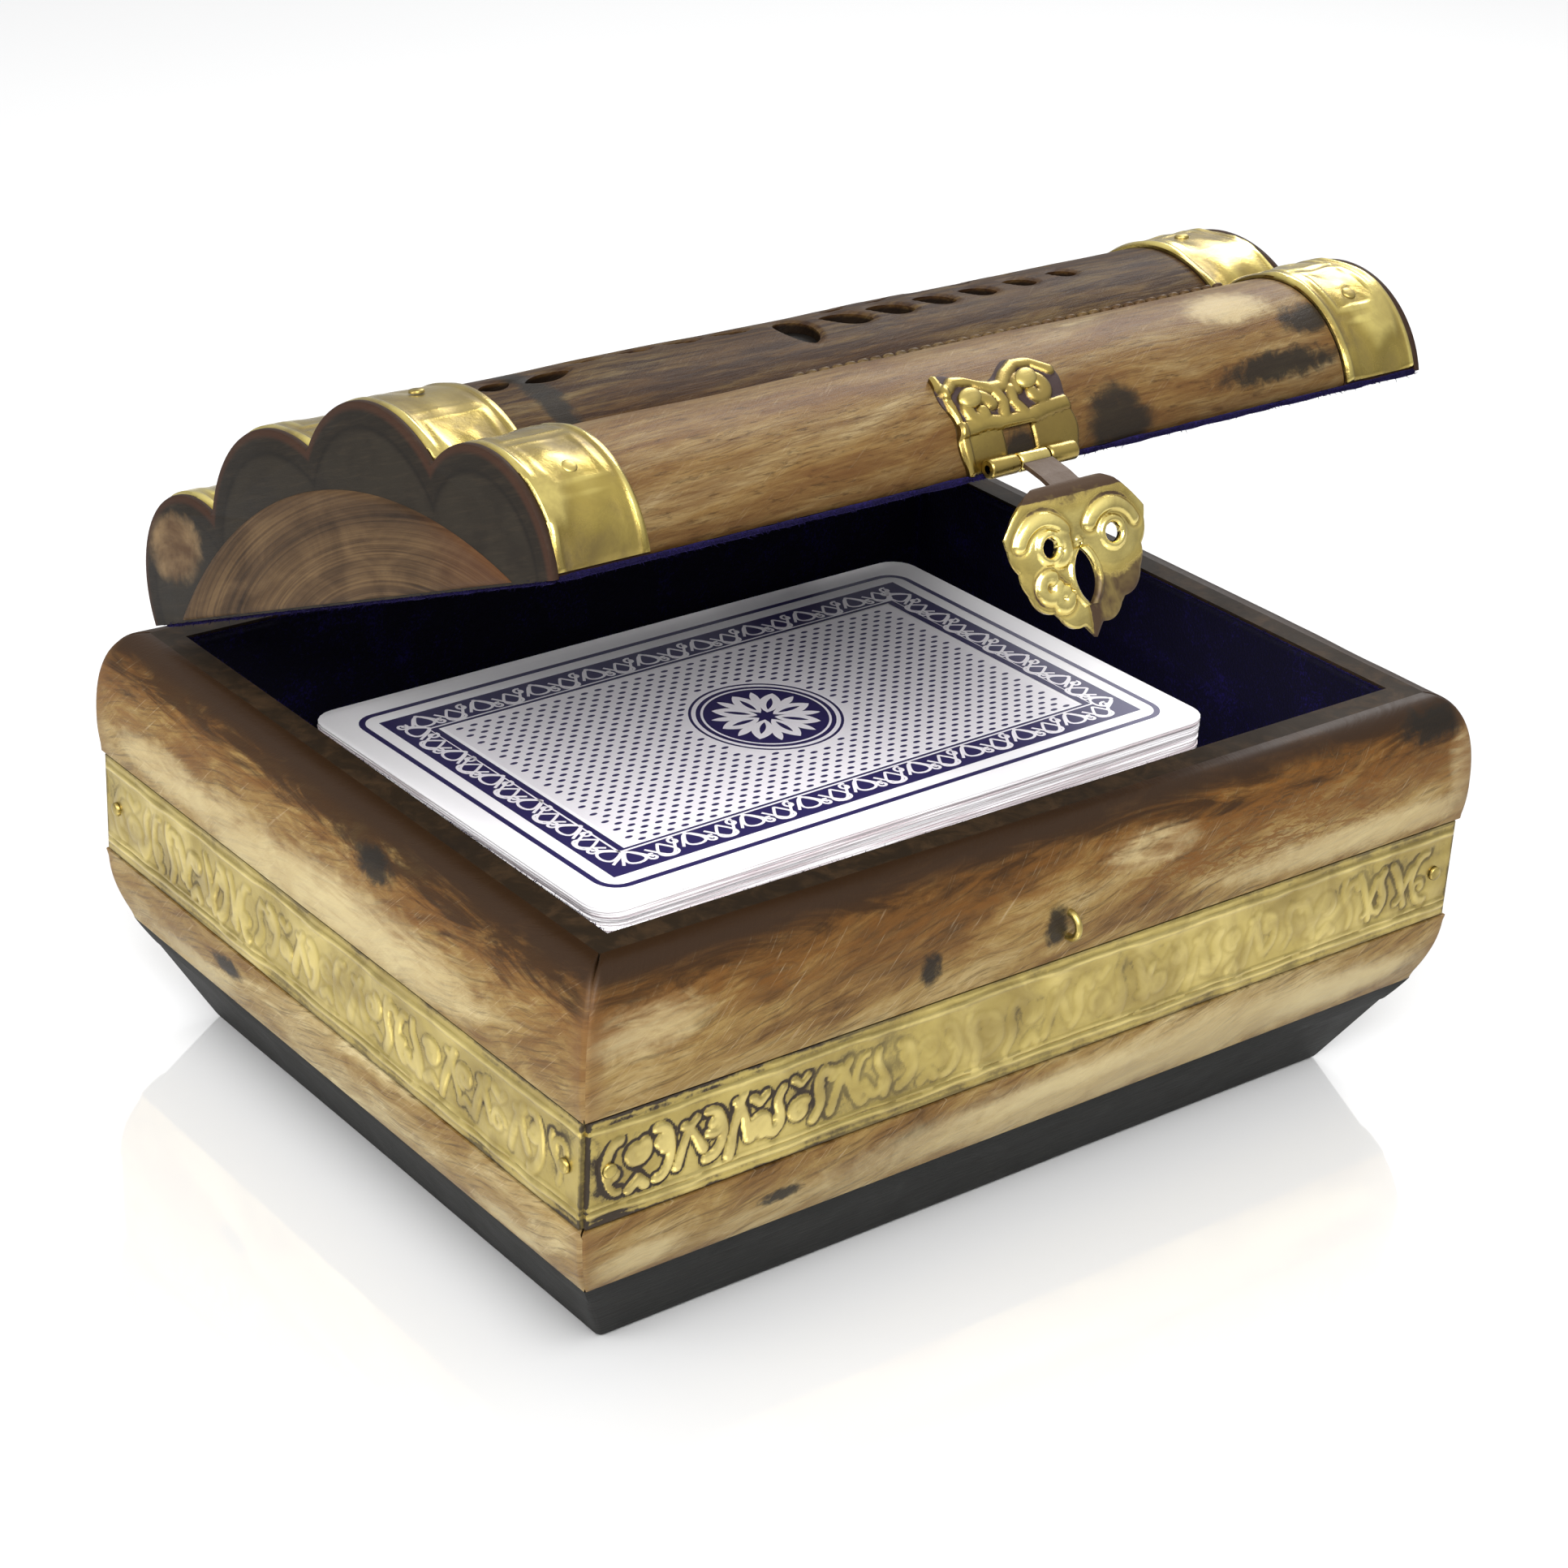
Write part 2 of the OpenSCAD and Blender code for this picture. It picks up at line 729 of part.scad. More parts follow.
lid_cover(2, dark_bone);  // lid_cover_mid_front
lid_cover(3, bone);  // lid_cover_front
lid_strap(-1);  // lid_strap_left
lid_strap(1);  // lid_strap_right
lid_strap_nails();
lid_lining_front();
lid_lining_back();
lid_lining_side(-1);  // lid_lining_left
lid_lining_side(1);  // lid_lining_right
lid_lining_top();
hasp_plate();
hasp_nails();
hasp_pin();
hasp_flap();
deck(deck_z, 0);  // deck_lower
deck(deck_z + deck_h, deck_yaw);  // deck_upper
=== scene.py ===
"""Looks of the playing card casket: bone panels, embossed brass, velvet and two packs of cards.

Lengths are in millimetres until a mesh is made. The box is described by the side that a piece is on,
its inset from the outer face and its height. The lid is described in its own closed frame: x along
the hinge, u from the hinge axis to the front, v up from the lid's underside.
"""

import json
import math

import bmesh
import bpy
import numpy as np
from mathutils import Matrix, Vector


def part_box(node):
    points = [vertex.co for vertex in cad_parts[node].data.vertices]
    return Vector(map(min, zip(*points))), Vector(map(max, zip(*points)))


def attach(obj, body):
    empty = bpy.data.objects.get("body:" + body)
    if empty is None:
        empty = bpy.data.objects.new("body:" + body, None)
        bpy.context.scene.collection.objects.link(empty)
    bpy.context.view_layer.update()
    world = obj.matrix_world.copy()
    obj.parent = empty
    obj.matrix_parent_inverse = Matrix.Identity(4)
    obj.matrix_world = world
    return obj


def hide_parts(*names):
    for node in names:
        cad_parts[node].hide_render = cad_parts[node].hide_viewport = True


MM = 0.001
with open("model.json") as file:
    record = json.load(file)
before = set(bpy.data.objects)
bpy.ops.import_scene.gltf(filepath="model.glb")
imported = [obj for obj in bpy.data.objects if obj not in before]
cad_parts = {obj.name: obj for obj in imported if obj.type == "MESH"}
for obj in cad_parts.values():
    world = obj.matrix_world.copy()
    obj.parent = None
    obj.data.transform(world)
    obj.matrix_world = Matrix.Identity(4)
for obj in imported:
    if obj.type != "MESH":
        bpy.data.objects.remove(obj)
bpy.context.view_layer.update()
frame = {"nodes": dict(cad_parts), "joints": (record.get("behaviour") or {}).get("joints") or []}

# ---------------------------------------------------------------- sizes


def node_box(node):
    """Lowest and highest corner of a CAD node, in millimetres."""
    low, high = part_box(node)
    return np.array(low) / MM, np.array(high) / MM


FRONT, RIGHT, BACK, LEFT = range(4)
SIDES = ("front", "right", "back", "left")

HALF_L = node_box("band_right")[1][0]
HALF_W = node_box("band_back")[1][1]
PLINTH_TOP = node_box("plinth")[1][2]
BONE_LOW = node_box("lower_bone_front")[0][2]
BAND_LOW, BAND_HIGH = (corner[2] for corner in node_box("band_front"))
BAND_MID, BAND_HALF = (BAND_HIGH + BAND_LOW) / 2, (BAND_HIGH - BAND_LOW) / 2
RIM = node_box("wall_front")[1][2]
CORE_OUT = HALF_W + node_box("upper_bone_front")[1][1]
LINING_OUT, LINING_IN = (HALF_W + corner[1] for corner in node_box("lining_front"))
LINING_T = LINING_IN - LINING_OUT
FLOOR = node_box("lining_floor")[1][2]
BAND_T = 0.8
FOOT_INSET, WAIST_INSET = 9.2, 4.1
BULGE, BULGE_Z, BELLY_Z = 0.5, 38.5, 20.5
SEAM = 0.3

lid_joint = next(j for j in frame["joints"] if j["name"] == "lid_hinge")
HINGE_Y, HINGE_Z = (v / MM for v in lid_joint["pos_m"][1:])
OPEN = math.radians(-lid_joint["range_deg"][0])
LOBES = ((16, 2, 12.1), (38.2, 2.4, 16.9), (58.4, 4.5, 15.7), (77.8, 2, 12.1))
LOBE_NAMES = ("back", "mid_back", "mid_front", "front")
BACK_LOBE, FRONT_LOBE = 0, 3
STRAP_T, COVER_T = 0.5, 1.4
END_X = node_box("lid_end_right")[1][0]
STRAP_IN, STRAP_OUT = (corner[0] for corner in node_box("lid_strap_right"))
STRAP_MID, STRAP_HALF = (STRAP_IN + STRAP_OUT) / 2, (STRAP_OUT - STRAP_IN) / 2
LID_ENDS = ((-1, "left"), (1, "right"))
TILE_U, TILE_L, TILE_H = 46.9, 72, 12
RECESS_H = 7
HASP_U, HASP_V = 90.75, 0.6


def valley(a, b):
    """Distance from the hinge axis at which two lobes meet."""
    d = math.hypot(b[0] - a[0], b[1] - a[1])
    k = (d * d + a[2] ** 2 - b[2] ** 2) / (2 * d)
    h = math.sqrt(a[2] ** 2 - k * k)
    return a[0] + k * (b[0] - a[0]) / d - h * (b[1] - a[1]) / d


SPLITS = [valley(LOBES[i], LOBES[i + 1]) for i in range(3)]


def half_of(side):
    """Distance from the middle of the box to that side's outer face."""
    return HALF_W if side % 2 == 0 else HALF_L


# ---------------------------------------------------------------- places


def on_side(side, along, inset, z):
    """Points on one side of the box, from how far along, how far in and how high they are."""
    along, inset, z = np.broadcast_arrays(along, inset, z)
    x, y = along.astype(float), inset - half_of(side)
    for _ in range(side):
        x, y = -y, x
    return np.stack([x, y, z], -1)


def on_lid(x, u, v):
    """Points of the closed lid's frame at their open place."""
    x, u, v = np.broadcast_arrays(x, u, v)
    y = HINGE_Y - u * math.cos(OPEN) + v * math.sin(OPEN)
    z = HINGE_Z + u * math.sin(OPEN) + v * math.cos(OPEN)
    return np.stack([x.astype(float), y, z], -1)


def on_lobe(i, x, angle, out=0.0):
    """Points on a lobe. The angle starts at its front and rises; out is measured from the lobe's radius."""
    u0, v0, r = LOBES[i]
    return on_lid(x, u0 + (r + out) * np.cos(angle), v0 + (r + out) * np.sin(angle))


def lobe_range(i, shrink=0.0):
    """Angles at which a lobe starts at its front and ends at its back."""
    u0, v0, r = LOBES[i][0], LOBES[i][1], LOBES[i][2] - shrink
    start = math.acos((SPLITS[i] - u0) / r) if i < FRONT_LOBE else -math.asin(v0 / r)
    end = math.acos((SPLITS[i - 1] - u0) / r) if i > BACK_LOBE else math.pi + math.asin(v0 / r)
    return start, end


# ---------------------------------------------------------------- meshes


def grid(a, b):
    return np.meshgrid(a, b, indexing="ij")


def circle(sides):
    """Evenly spaced angles round a circle."""
    return np.linspace(0, 2 * math.pi, sides, endpoint=False)


def unit(vectors):
    """The same directions with length 1."""
    return vectors / np.maximum(np.linalg.norm(vectors, axis=-1, keepdims=True), 1e-9)


def normals(line):
    """Unit normals to the left of a line in a plane."""
    tangent = np.gradient(line, axis=0)
    return unit(np.stack([-tangent[:, 1], tangent[:, 0]], 1))


def wobble(points, size, seed):
    """A smooth uneven height from about -1 to 1 at points in a plane or in space; size is its features'."""
    waves = 9
    rng = np.random.default_rng(seed)
    total = np.zeros(points.shape[:-1])
    for _ in range(waves):
        direction = rng.normal(size=3)
        direction *= rng.uniform(0.6, 1.5) * 2.2 / (size * np.linalg.norm(direction))
        total += np.sin(points @ direction[: points.shape[-1]] + rng.uniform(0, 6.3))
    return total / math.sqrt(waves)


def smooth(t):
    """0 below t = 0, 1 above t = 1, with an easy curve between them."""
    t = np.clip(t, 0, 1)
    return t * t * (3 - 2 * t)


def quarter(t):
    """A quarter circle's height: 0 at t = 0 and 1 from t = 1."""
    return np.sqrt(np.clip(1 - (1 - np.clip(t, 0, 1)) ** 2, 0, 1))


def ridge(distance, width):
    """Height from 0 to 1 of a round ridge along lines at that distance."""
    return np.sqrt(np.clip(1 - (distance / width) ** 2, 0, 1))


def hollow(distance, width):
    """Depth from 0 to 1 of a soft groove at that distance."""
    return np.exp(-((distance / width) ** 2))


def add(name, data):
    """A new object in the scene."""
    thing = bpy.data.objects.new(name, data)
    bpy.context.scene.collection.objects.link(thing)
    return thing


def make(name, shape, paint, body, crease=40, relief=None, extra=False, fix=True):
    """A piece from its (points, faces). It replaces the CAD node of its name unless it is extra.

    relief is a value for each point that its paint can read; fix turns its faces outwards.
    """
    mesh = bpy.data.meshes.new(name)
    points, faces = shape
    mesh.from_pydata((points * MM).tolist(), [], [tuple(int(k) for k in f) for f in faces])
    if relief is not None:
        layer = mesh.attributes.new("relief", "FLOAT", "POINT")
        layer.data.foreach_set("value", relief.astype(np.float32))
    if fix:
        work = bmesh.new()
        work.from_mesh(mesh)
        bmesh.ops.recalc_face_normals(work, faces=work.faces)
        work.to_mesh(mesh)
        work.free()
    mesh.polygons.foreach_set("use_smooth", [True] * len(mesh.polygons))
    mesh.set_sharp_from_angle(angle=math.radians(crease))
    mesh.materials.append(paint)
    mesh.update()
    made = add(name, mesh)
    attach(made, body)
    if not extra:
        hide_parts(name)
    return made


def strip_faces(rows, columns, closed=False):
    """Quads between neighbouring rows of points; closed joins the last column to the first."""
    last = columns if closed else columns - 1
    corners = [(i * columns, j, (j + 1) % columns) for i in range(rows - 1) for j in range(last)]
    return [(row + j, row + k, row + columns + k, row + columns + j) for row, j, k in corners]


def loft(rings):
    """Points and faces of a solid whose skin runs through closed rings of points."""
    rings = np.array(rings)
    rows, columns = rings.shape[:2]
    faces = strip_faces(rows, columns, True)
    faces.append(tuple(reversed(range(columns))))
    faces.append(tuple((rows - 1) * columns + j for j in range(columns)))
    return rings.reshape(-1, 3), faces


def cut_grid(a, b, inside):
    """The cells of the grid a x b where inside is above 0, cut along its zero line."""
    grid_a, grid_b = np.meshgrid(a, b, indexing="ij")
    value = inside(grid_a, grid_b)
    keep = value > 0
    index = np.full(keep.shape, -1)
    index[keep] = np.arange(keep.sum())
    points = np.stack([grid_a[keep], grid_b[keep]], 1).tolist()
    cuts = {}

    def cut(p, q):
        key = (p, q) if p < q else (q, p)
        if key not in cuts:
            share = value[key[0]] / (value[key[0]] - value[key[1]])
            share = min(max(share, 0.03), 0.97)
            start, end = ((grid_a[k], grid_b[k]) for k in key)
            cuts[key] = len(points)
            points.append([s + share * (e - s) for s, e in zip(start, end)])
        return cuts[key]

    corners = keep[:-1, :-1].astype(int) + keep[1:, :-1] + keep[1:, 1:] + keep[:-1, 1:]
    faces = [
        (index[i, j], index[i + 1, j], index[i + 1, j + 1], index[i, j + 1])
        for i, j in zip(*np.nonzero(corners == 4))
    ]
    for i, j in zip(*np.nonzero((corners > 0) & (corners < 4))):
        around = [(i, j), (i + 1, j), (i + 1, j + 1), (i, j + 1)]
        face = []
        for p, q in zip(around, around[1:] + around[:1]):
            if keep[p]:
                face.append(index[p])
            if keep[p] != keep[q]:
                face.append(cut(p, q))
        faces.append(tuple(face))
    return np.array(points), faces


def shell(front, back, faces=None):
    """Points and faces of a closed solid from its two skins, which are grids if no faces are given."""
    faces = faces or strip_faces(*front.shape[:2])
    count = front.size // 3
    used = dict.fromkeys((p, q) for face in faces for p, q in zip(face, face[1:] + face[:1]))
    walls = [(q, p, p + count, q + count) for p, q in used if (q, p) not in used]
    backs = [tuple(k + count for k in reversed(face)) for face in faces]
    return np.concatenate([front.reshape(-1, 3), back.reshape(-1, 3)]), faces + backs + walls


def near(a, b, lines, reach):
    """Distance from each point of the grid a x b to the nearest line, no further than reach."""
    grid_a, grid_b = grid(a, b)
    found = np.full(grid_a.shape, float(reach))
    for line in lines:
        line = np.asarray(line, float)
        for p, q in zip(line[:-1], line[1:]):
            ends = zip(np.minimum(p, q) - reach, np.maximum(p, q) + reach)
            box = tuple(slice(*np.searchsorted(axis, end)) for axis, end in zip((a, b), ends))
            da, db = grid_a[box] - p[0], grid_b[box] - p[1]
            ea, eb = q - p
            share = np.clip((da * ea + db * eb) / max(ea * ea + eb * eb, 1e-9), 0, 1)
            found[box] = np.minimum(found[box], np.hypot(da - share * ea, db - share * eb))
    return found


def near_flat(flat, a, b, lines, reach):
    """The distance of near at points of a cut grid."""
    i, j = (np.clip(np.searchsorted(axis, flat[:, k]), 0, len(axis) - 1) for k, axis in enumerate((a, b)))
    return near(a, b, lines, reach)[i, j]


def polar(centre, radius, angle):
    return np.stack([centre[0] + radius * np.cos(angle), centre[1] + radius * np.sin(angle)], 1)


def spiral(centre, radius, start, turns, inner=0.25, steps=26):
    """A line that winds inwards from radius to inner x radius; turns may be negative."""
    t = np.linspace(0, 1, steps)
    return polar(centre, radius * (1 - (1 - inner) * t), start + 2 * math.pi * turns * t)


def arc(centre, radius, start, end, steps=16):
    return polar(centre, radius, np.radians(np.linspace(start, end, steps)))


def leaf(a, b, centre, angle, length, width):
    """Above 0 inside a pointed leaf, in millimetres from its edge near the middle."""
    c, s = math.cos(math.radians(angle)), math.sin(math.radians(angle))
    p = (a - centre[0]) * c + (b - centre[1]) * s
    q = -(a - centre[0]) * s + (b - centre[1]) * c
    radius = (length * length + width * width) / (4 * width)
    return radius - np.hypot(p, np.abs(q) + radius - width / 2)


def nail_head(centre, normal, radius, height, stretch=1.0, along=(1, 0, 0)):
    """Points and faces of a domed head on a surface, stretched along one direction."""
    normal = unit(normal)
    first = unit(along - normal * np.dot(along, normal))
    second = np.cross(normal, first)
    levels = ((1.0, -0.15), (1.0, 0.35), (0.94, 0.6), (0.8, 0.8), (0.55, 0.94), (0.25, 1.0))
    return loft([
        [centre + radius * r * (stretch * math.cos(t) * first + math.sin(t) * second) + height * h * normal
         for t in circle(20)]
        for r, h in levels
    ])


def lobe_nail(i, x, degrees, out, *size, **turn):
    """A domed head on a lobe, with its foot that far out of the lobe's surface."""
    angle = math.radians(degrees)
    up = on_lobe(i, x, angle, 1.0) - on_lobe(i, x, angle)
    return nail_head(on_lobe(i, x, angle, out), up, *size, **turn)


def rounded(length, width, radius, steps=6):
    """Points round a rectangle with round corners, counter-clockwise."""
    corners = []
    for k, (sx, sy) in enumerate(((1, -1), (1, 1), (-1, 1), (-1, -1))):
        turn = np.radians(np.linspace(-90, 0, steps) + 90 * k)
        corners.append(polar((sx * (length / 2 - radius), sy * (width / 2 - radius)), radius, turn))
    return np.concatenate(corners)


def turned(points, yaw, shift=(0, 0)):
    c, s = math.cos(yaw), math.sin(yaw)
    return points @ np.array([[c, s], [-s, c]]) + np.array(shift)


def raised(flat, z):
    """Points of a plane at that height."""
    return np.column_stack([flat, np.full(len(flat), z)])


def gather(parts):
    """Joins several (points, faces) into one."""
    points, faces, count = [], [], 0
    for part_points, part_faces in parts:
        points.append(part_points)
        faces += [tuple(k + count for k in face) for face in part_faces]
        count += len(part_points)
    return np.concatenate(points), faces


# ---------------------------------------------------------------- materials


def tone(red, green, blue):
    """Linear colour from the 0 to 255 values that a screen shows."""
    return tuple(
        c / 12.92 if c <= 0.04045 else ((c + 0.055) / 1.055) ** 2.4
        for c in (red / 255, green / 255, blue / 255)
    ) + (1.0,)


def operator(kind):
    """A Value's method that puts a math node of that kind between it and another value."""
    return lambda value, other: value.paint.math(kind, value, other)


class Value:
    """An output of a material's nodes that can be used in sums."""

    def __init__(self, paint, socket):
        self.paint, self.socket = paint, socket

    __add__, __sub__ = operator("ADD"), operator("SUBTRACT")
    __mul__, __truediv__ = operator("MULTIPLY"), operator("DIVIDE")

    def __rsub__(self, other):
        return self.paint.math("SUBTRACT", other, self)

    def size(self):
        return self.paint.math("ABSOLUTE", self)

    def step(self, low, high):
        """0 at low, 1 at high, smooth between them."""
        first, last = (0, 1) if low <= high else (1, 0)
        return self.paint.flow("MapRange", self, min(low, high), max(low, high), first, last,
                               interpolation_type="SMOOTHSTEP")


class Paint:
    """A procedural material whose colour builds up in layers. x, y and z are millimetres in the shared frame.

    On the lid there are u and v too, and noise follows x, u and v.
    """

    def __init__(self, name, lid=False):
        self.material = bpy.data.materials.new(name)
        self.material.use_nodes = True
        self.tree = self.material.node_tree
        self.shader = next(n for n in self.tree.nodes if n.type == "BSDF_PRINCIPLED")
        place = self.flow("TexCoord", out="Object")
        self.here = self.flow("VectorMath", place, operation="SCALE", Scale=1 / MM)
        self.x, self.y, self.z = (Value(self, out) for out in self.node("SeparateXYZ", self.here).outputs)
        if lid:
            c, s = math.cos(OPEN), math.sin(OPEN)
            y, z = self.y - HINGE_Y, self.z - HINGE_Z
            self.u, self.v = z * s - y * c, y * s + z * c
            self.here = self.join(self.x, self.u, self.v)

    def put(self, socket, value):
        if isinstance(value, Value):
            self.tree.links.new(value.socket, socket)
        else:
            socket.default_value = value

    def node(self, kind, *inputs, **settings):
        """A new node. Inputs fill its first sockets; settings its properties and, with a capital, sockets."""
        node = self.tree.nodes.new("ShaderNode" + kind)
        for name, value in settings.items():
            if name[0].islower():
                setattr(node, name, value)
            else:
                self.put(node.inputs[name], value)
        for socket, value in zip(node.inputs, inputs):
            self.put(socket, value)
        return node

    def flow(self, kind, *inputs, out=0, **settings):
        """An output of a new node."""
        return Value(self, self.node(kind, *inputs, **settings).outputs[out])

    def join(self, x, y, z):
        return self.flow("CombineXYZ", x, y, z)

    def math(self, operation, *values):
        return self.flow("Math", *values, operation=operation)

    def noise(self, size, detail, rough, bend=0.0, seed=0.0, at=None):
        """Noise from about 0 to 1 whose features measure size millimetres along each axis."""
        size = size if isinstance(size, tuple) else (size,) * 3
        share, shift = [1 / s for s in size], (seed * 7.3, seed * 3.1, seed * 5.7)
        place = self.flow("VectorMath", at or self.here, share, shift, operation="MULTIPLY_ADD")
        return self.flow("TexNoise", Vector=place, Scale=1.0, Detail=detail, Roughness=rough, Distortion=bend)

    def ramp(self, value, *stops):
        node = self.node("ValToRGB", value)
        points = node.color_ramp.elements
        points[0].position, points[0].color = stops[0]
        points[1].position, points[1].color = stops[-1]
        for place, colour in stops[1:-1]:
            points.new(place).color = colour
        return Value(self, node.outputs[0])

    def mix(self, share, a, b, kind="MIX"):
        node = self.node("Mix", share, data_type="RGBA", blend_type=kind)
        for k, value in ((6, a), (7, b)):
            self.put(node.inputs[k], value)
        return Value(self, node.outputs[2])

    def lay(self, share, colour):
        """Covers that share of the colour so far with another."""
        self.colour = self.mix(share, self.colour, colour)

    def along(self, side):
        return self.math("MULTIPLY", (self.x, self.y)[side % 2], 1 if side < BACK else -1)

    def spot(self, a, b, place, size, ragged, seed, soft):
        """1 inside an uneven patch at place on the coordinates a and b, 0 outside."""
        p, q = (a - place[0]) / size[0], (b - place[1]) / size[1]
        reach = p * p + q * q + (self.noise(min(size) * 1.1, 5, 0.66, 0.6, seed=seed) - 0.5) * (4 * ragged)
        return reach.step(1 + soft, 1 - soft)

    def done(self, rough, metallic=0.0, height=None, depth=0.1, gloss=0.5, **sockets):
        """Fills in the shader. height is in depths of that many millimetres."""
        if height is not None:
            sockets["Normal"] = self.flow("Bump", Distance=depth * MM, Height=height)
        sockets.update({"Base Color": self.colour, "Roughness": rough, "Metallic": metallic,
                        "Specular IOR Level": gloss})
        for name, value in sockets.items():
            self.put(self.shader.inputs[name.replace("_", " ")], value)
        return self.material


CREAM, GREY_TAN, TAN = tone(174, 160, 120), tone(142, 124, 84), tone(121, 98, 56)
BROWN, SCORCH, UMBER = tone(68, 47, 23), tone(106, 66, 20), tone(38, 23, 9)
CHARCOAL = tone(24, 21, 17)


class Bone(Paint):
    """Cream to brown mottled bone with fine fibres and hairlines."""

    def grow(self, along, up, tint, lean, climb=0.0):
        """Starts the colour. lean turns the fibres away from along; climb adds to the browning."""
        c, s = math.cos(math.radians(lean)), math.sin(math.radians(lean))
        wave = (self.noise(18, 2, 0.5, seed=4) - 0.5) * 5.0
        fibre_at = self.join(along * c + up * s, up * c - along * s + wave, 0.0)
        broad = self.noise((30, 7, 8), 5, 0.55, 0.5, seed=tint * 10, at=fibre_at)
        patch = self.noise((9, 3.4, 3), 7, 0.66, 0.8, seed=tint * 17, at=fibre_at)
        self.fibre = self.noise((7, 0.42, 1), 5, 0.7, 0.25, seed=3, at=fibre_at)
        hair_at = self.join(along * 0.7 + up * 0.7, up * 0.7 - along * 0.7 + wave * 0.3, 0.0)
        self.hairline = self.noise((5, 0.22, 1), 3, 0.6, 0.2, seed=9, at=hair_at)
        blend = broad * 0.5 + patch * 0.4 + climb + (tint - 0.45)
        self.colour = self.ramp(blend, (0.34, CREAM), (0.43, GREY_TAN), (0.52, TAN),
                                (0.60, tone(98, 72, 37)), (0.68, BROWN))
        lines = self.ramp(self.fibre, (0.34, tone(98, 82, 62)), (0.5, tone(255, 255, 255)))
        self.colour = self.mix(0.6, self.colour, lines, "MULTIPLY")
        pores = self.noise((2.6, 0.26, 1), 4, 0.7, 0.3, seed=23, at=fibre_at)
        self.lay(pores.step(0.54, 0.66) * 0.3, BROWN)
        self.lay(self.hairline.step(0.60, 0.72) * 0.22, tone(188, 172, 142))

    def patches(self, a, b, pale, dark):
        """Adds pale and charcoal patches, each (place, size, seed), on the coordinates a and b."""
        for place, size, seed in pale:
            self.lay(self.spot(a, b, place, size, 0.55, seed, 0.9) * 0.5, CREAM)
        for place, size, seed in dark:
            self.lay(self.spot(a, b, place, size, 0.7, seed, 0.7) * 0.93, CHARCOAL)

    def polished(self, gloss=0.12):
        return self.done(self.fibre * 0.25 + 0.32, height=self.fibre + self.hairline * 0.5, depth=0.05,
                         gloss=gloss)


def lobe_depth(p):
    """Depth in millimetres below the surface of the lid's nearest lobe."""
    depth = None
    for u0, v0, r in LOBES:
        a, b = p.u - u0, p.v - v0
        inside = r - p.math("SQRT", a * a + b * b)
        depth = inside if depth is None else p.math("MAXIMUM", depth, inside)
    return depth


def box_bone(name, side, tint, burnt, dark, pale, swirl=None):
    """Bone on one side of the box. burnt is (from, to) in height; swirl is (from, to) along it."""
    p = Bone(name)
    along = p.along(side)
    p.grow(along, p.z, tint, (12, -10, 10, 16)[side], p.z.step(37, 48) * 0.13 if burnt else 0.0)
    if swirl:
        low, high = swirl
        curl_at = p.join(along, p.z, p.noise(7, 2, 0.5, 1.0, seed=12) * 6.0)
        curls = p.noise((7, 1.0, 1.6), 4, 0.62, 2.6, seed=14, at=curl_at)
        reach = along.step(low, low + 10) * along.step(high, high - 8) * p.z.step(36, 40)
        p.lay(reach * curls.step(0.47, 0.58) * 0.8, p.mix(curls, BROWN, SCORCH))
    p.patches(along, p.z, pale, ())
    if burnt:
        low, high = burnt
        ragged = p.noise((18, 18, 3.2), 6, 0.66, 1.6, seed=tint * 5 + side)
        burn = p.noise((9, 9, 2.4), 5, 0.62, 2.0, seed=21 + side)
        glow = (p.z + (ragged - 0.5) * 26).step(low - 8, low + 4) * burn.step(0.3, 0.6)
        p.lay(glow * 0.85, p.mix(p.fibre, BROWN, SCORCH))
        p.lay((p.z + (ragged - 0.5) * 15).step(low, high) * 0.9, UMBER)
        p.lay(p.z.step(RIM - 2.6, RIM - 0.8) * 0.85, tone(36, 23, 12))
    p.patches(along, p.z, (), dark)
    run = half_of(side + 1)
    p.lay(along.size().step(run - 3.2, run - 0.4) * 0.45, tone(96, 68, 40))
    return p.polished()


def lid_bone(name, tint, shade, ground, dark=(), pale=(), gloss=0.12):
    """Bone on the lid, with streaks along x. shade darkens it all towards ground."""
    p = Bone(name, lid=True)
    p.grow(p.x, p.v * 1.6 - p.u * 0.6, tint, 7)
    streak = p.noise((11, 0.9, 0.9), 6, 0.7, 0.4, seed=31)
    p.lay((streak - 0.5).step(-0.12, 0.16) * 0.3 + shade, ground)
    # Painted shade: the bone darkens towards the lid's lower edge.
    p.lay(p.v.step(4.5, -1.0) * 0.55, UMBER)
    fleck = p.noise((3.0, 0.5, 0.5), 5, 0.72, 0.3, seed=37)
    p.lay(fleck.step(0.53, 0.68) * 0.6, UMBER)
    p.patches(p.x, p.v, pale, dark)
    # Painted shade: bone lying deeper than a cover's face, on the walls of the pierced holes and along the
    # sunk edges, turns near black.
    p.lay(lobe_depth(p).step(STRAP_T + 0.25, STRAP_T + 0.7) * 0.92, tone(14, 9, 6))
    return p.polished(gloss)


BRASS, BRASS_HIGH = tone(174, 156, 92), tone(208, 190, 122)
BRASS_DULL, PATINA_AND_SHADE = tone(118, 99, 58), tone(42, 32, 21)


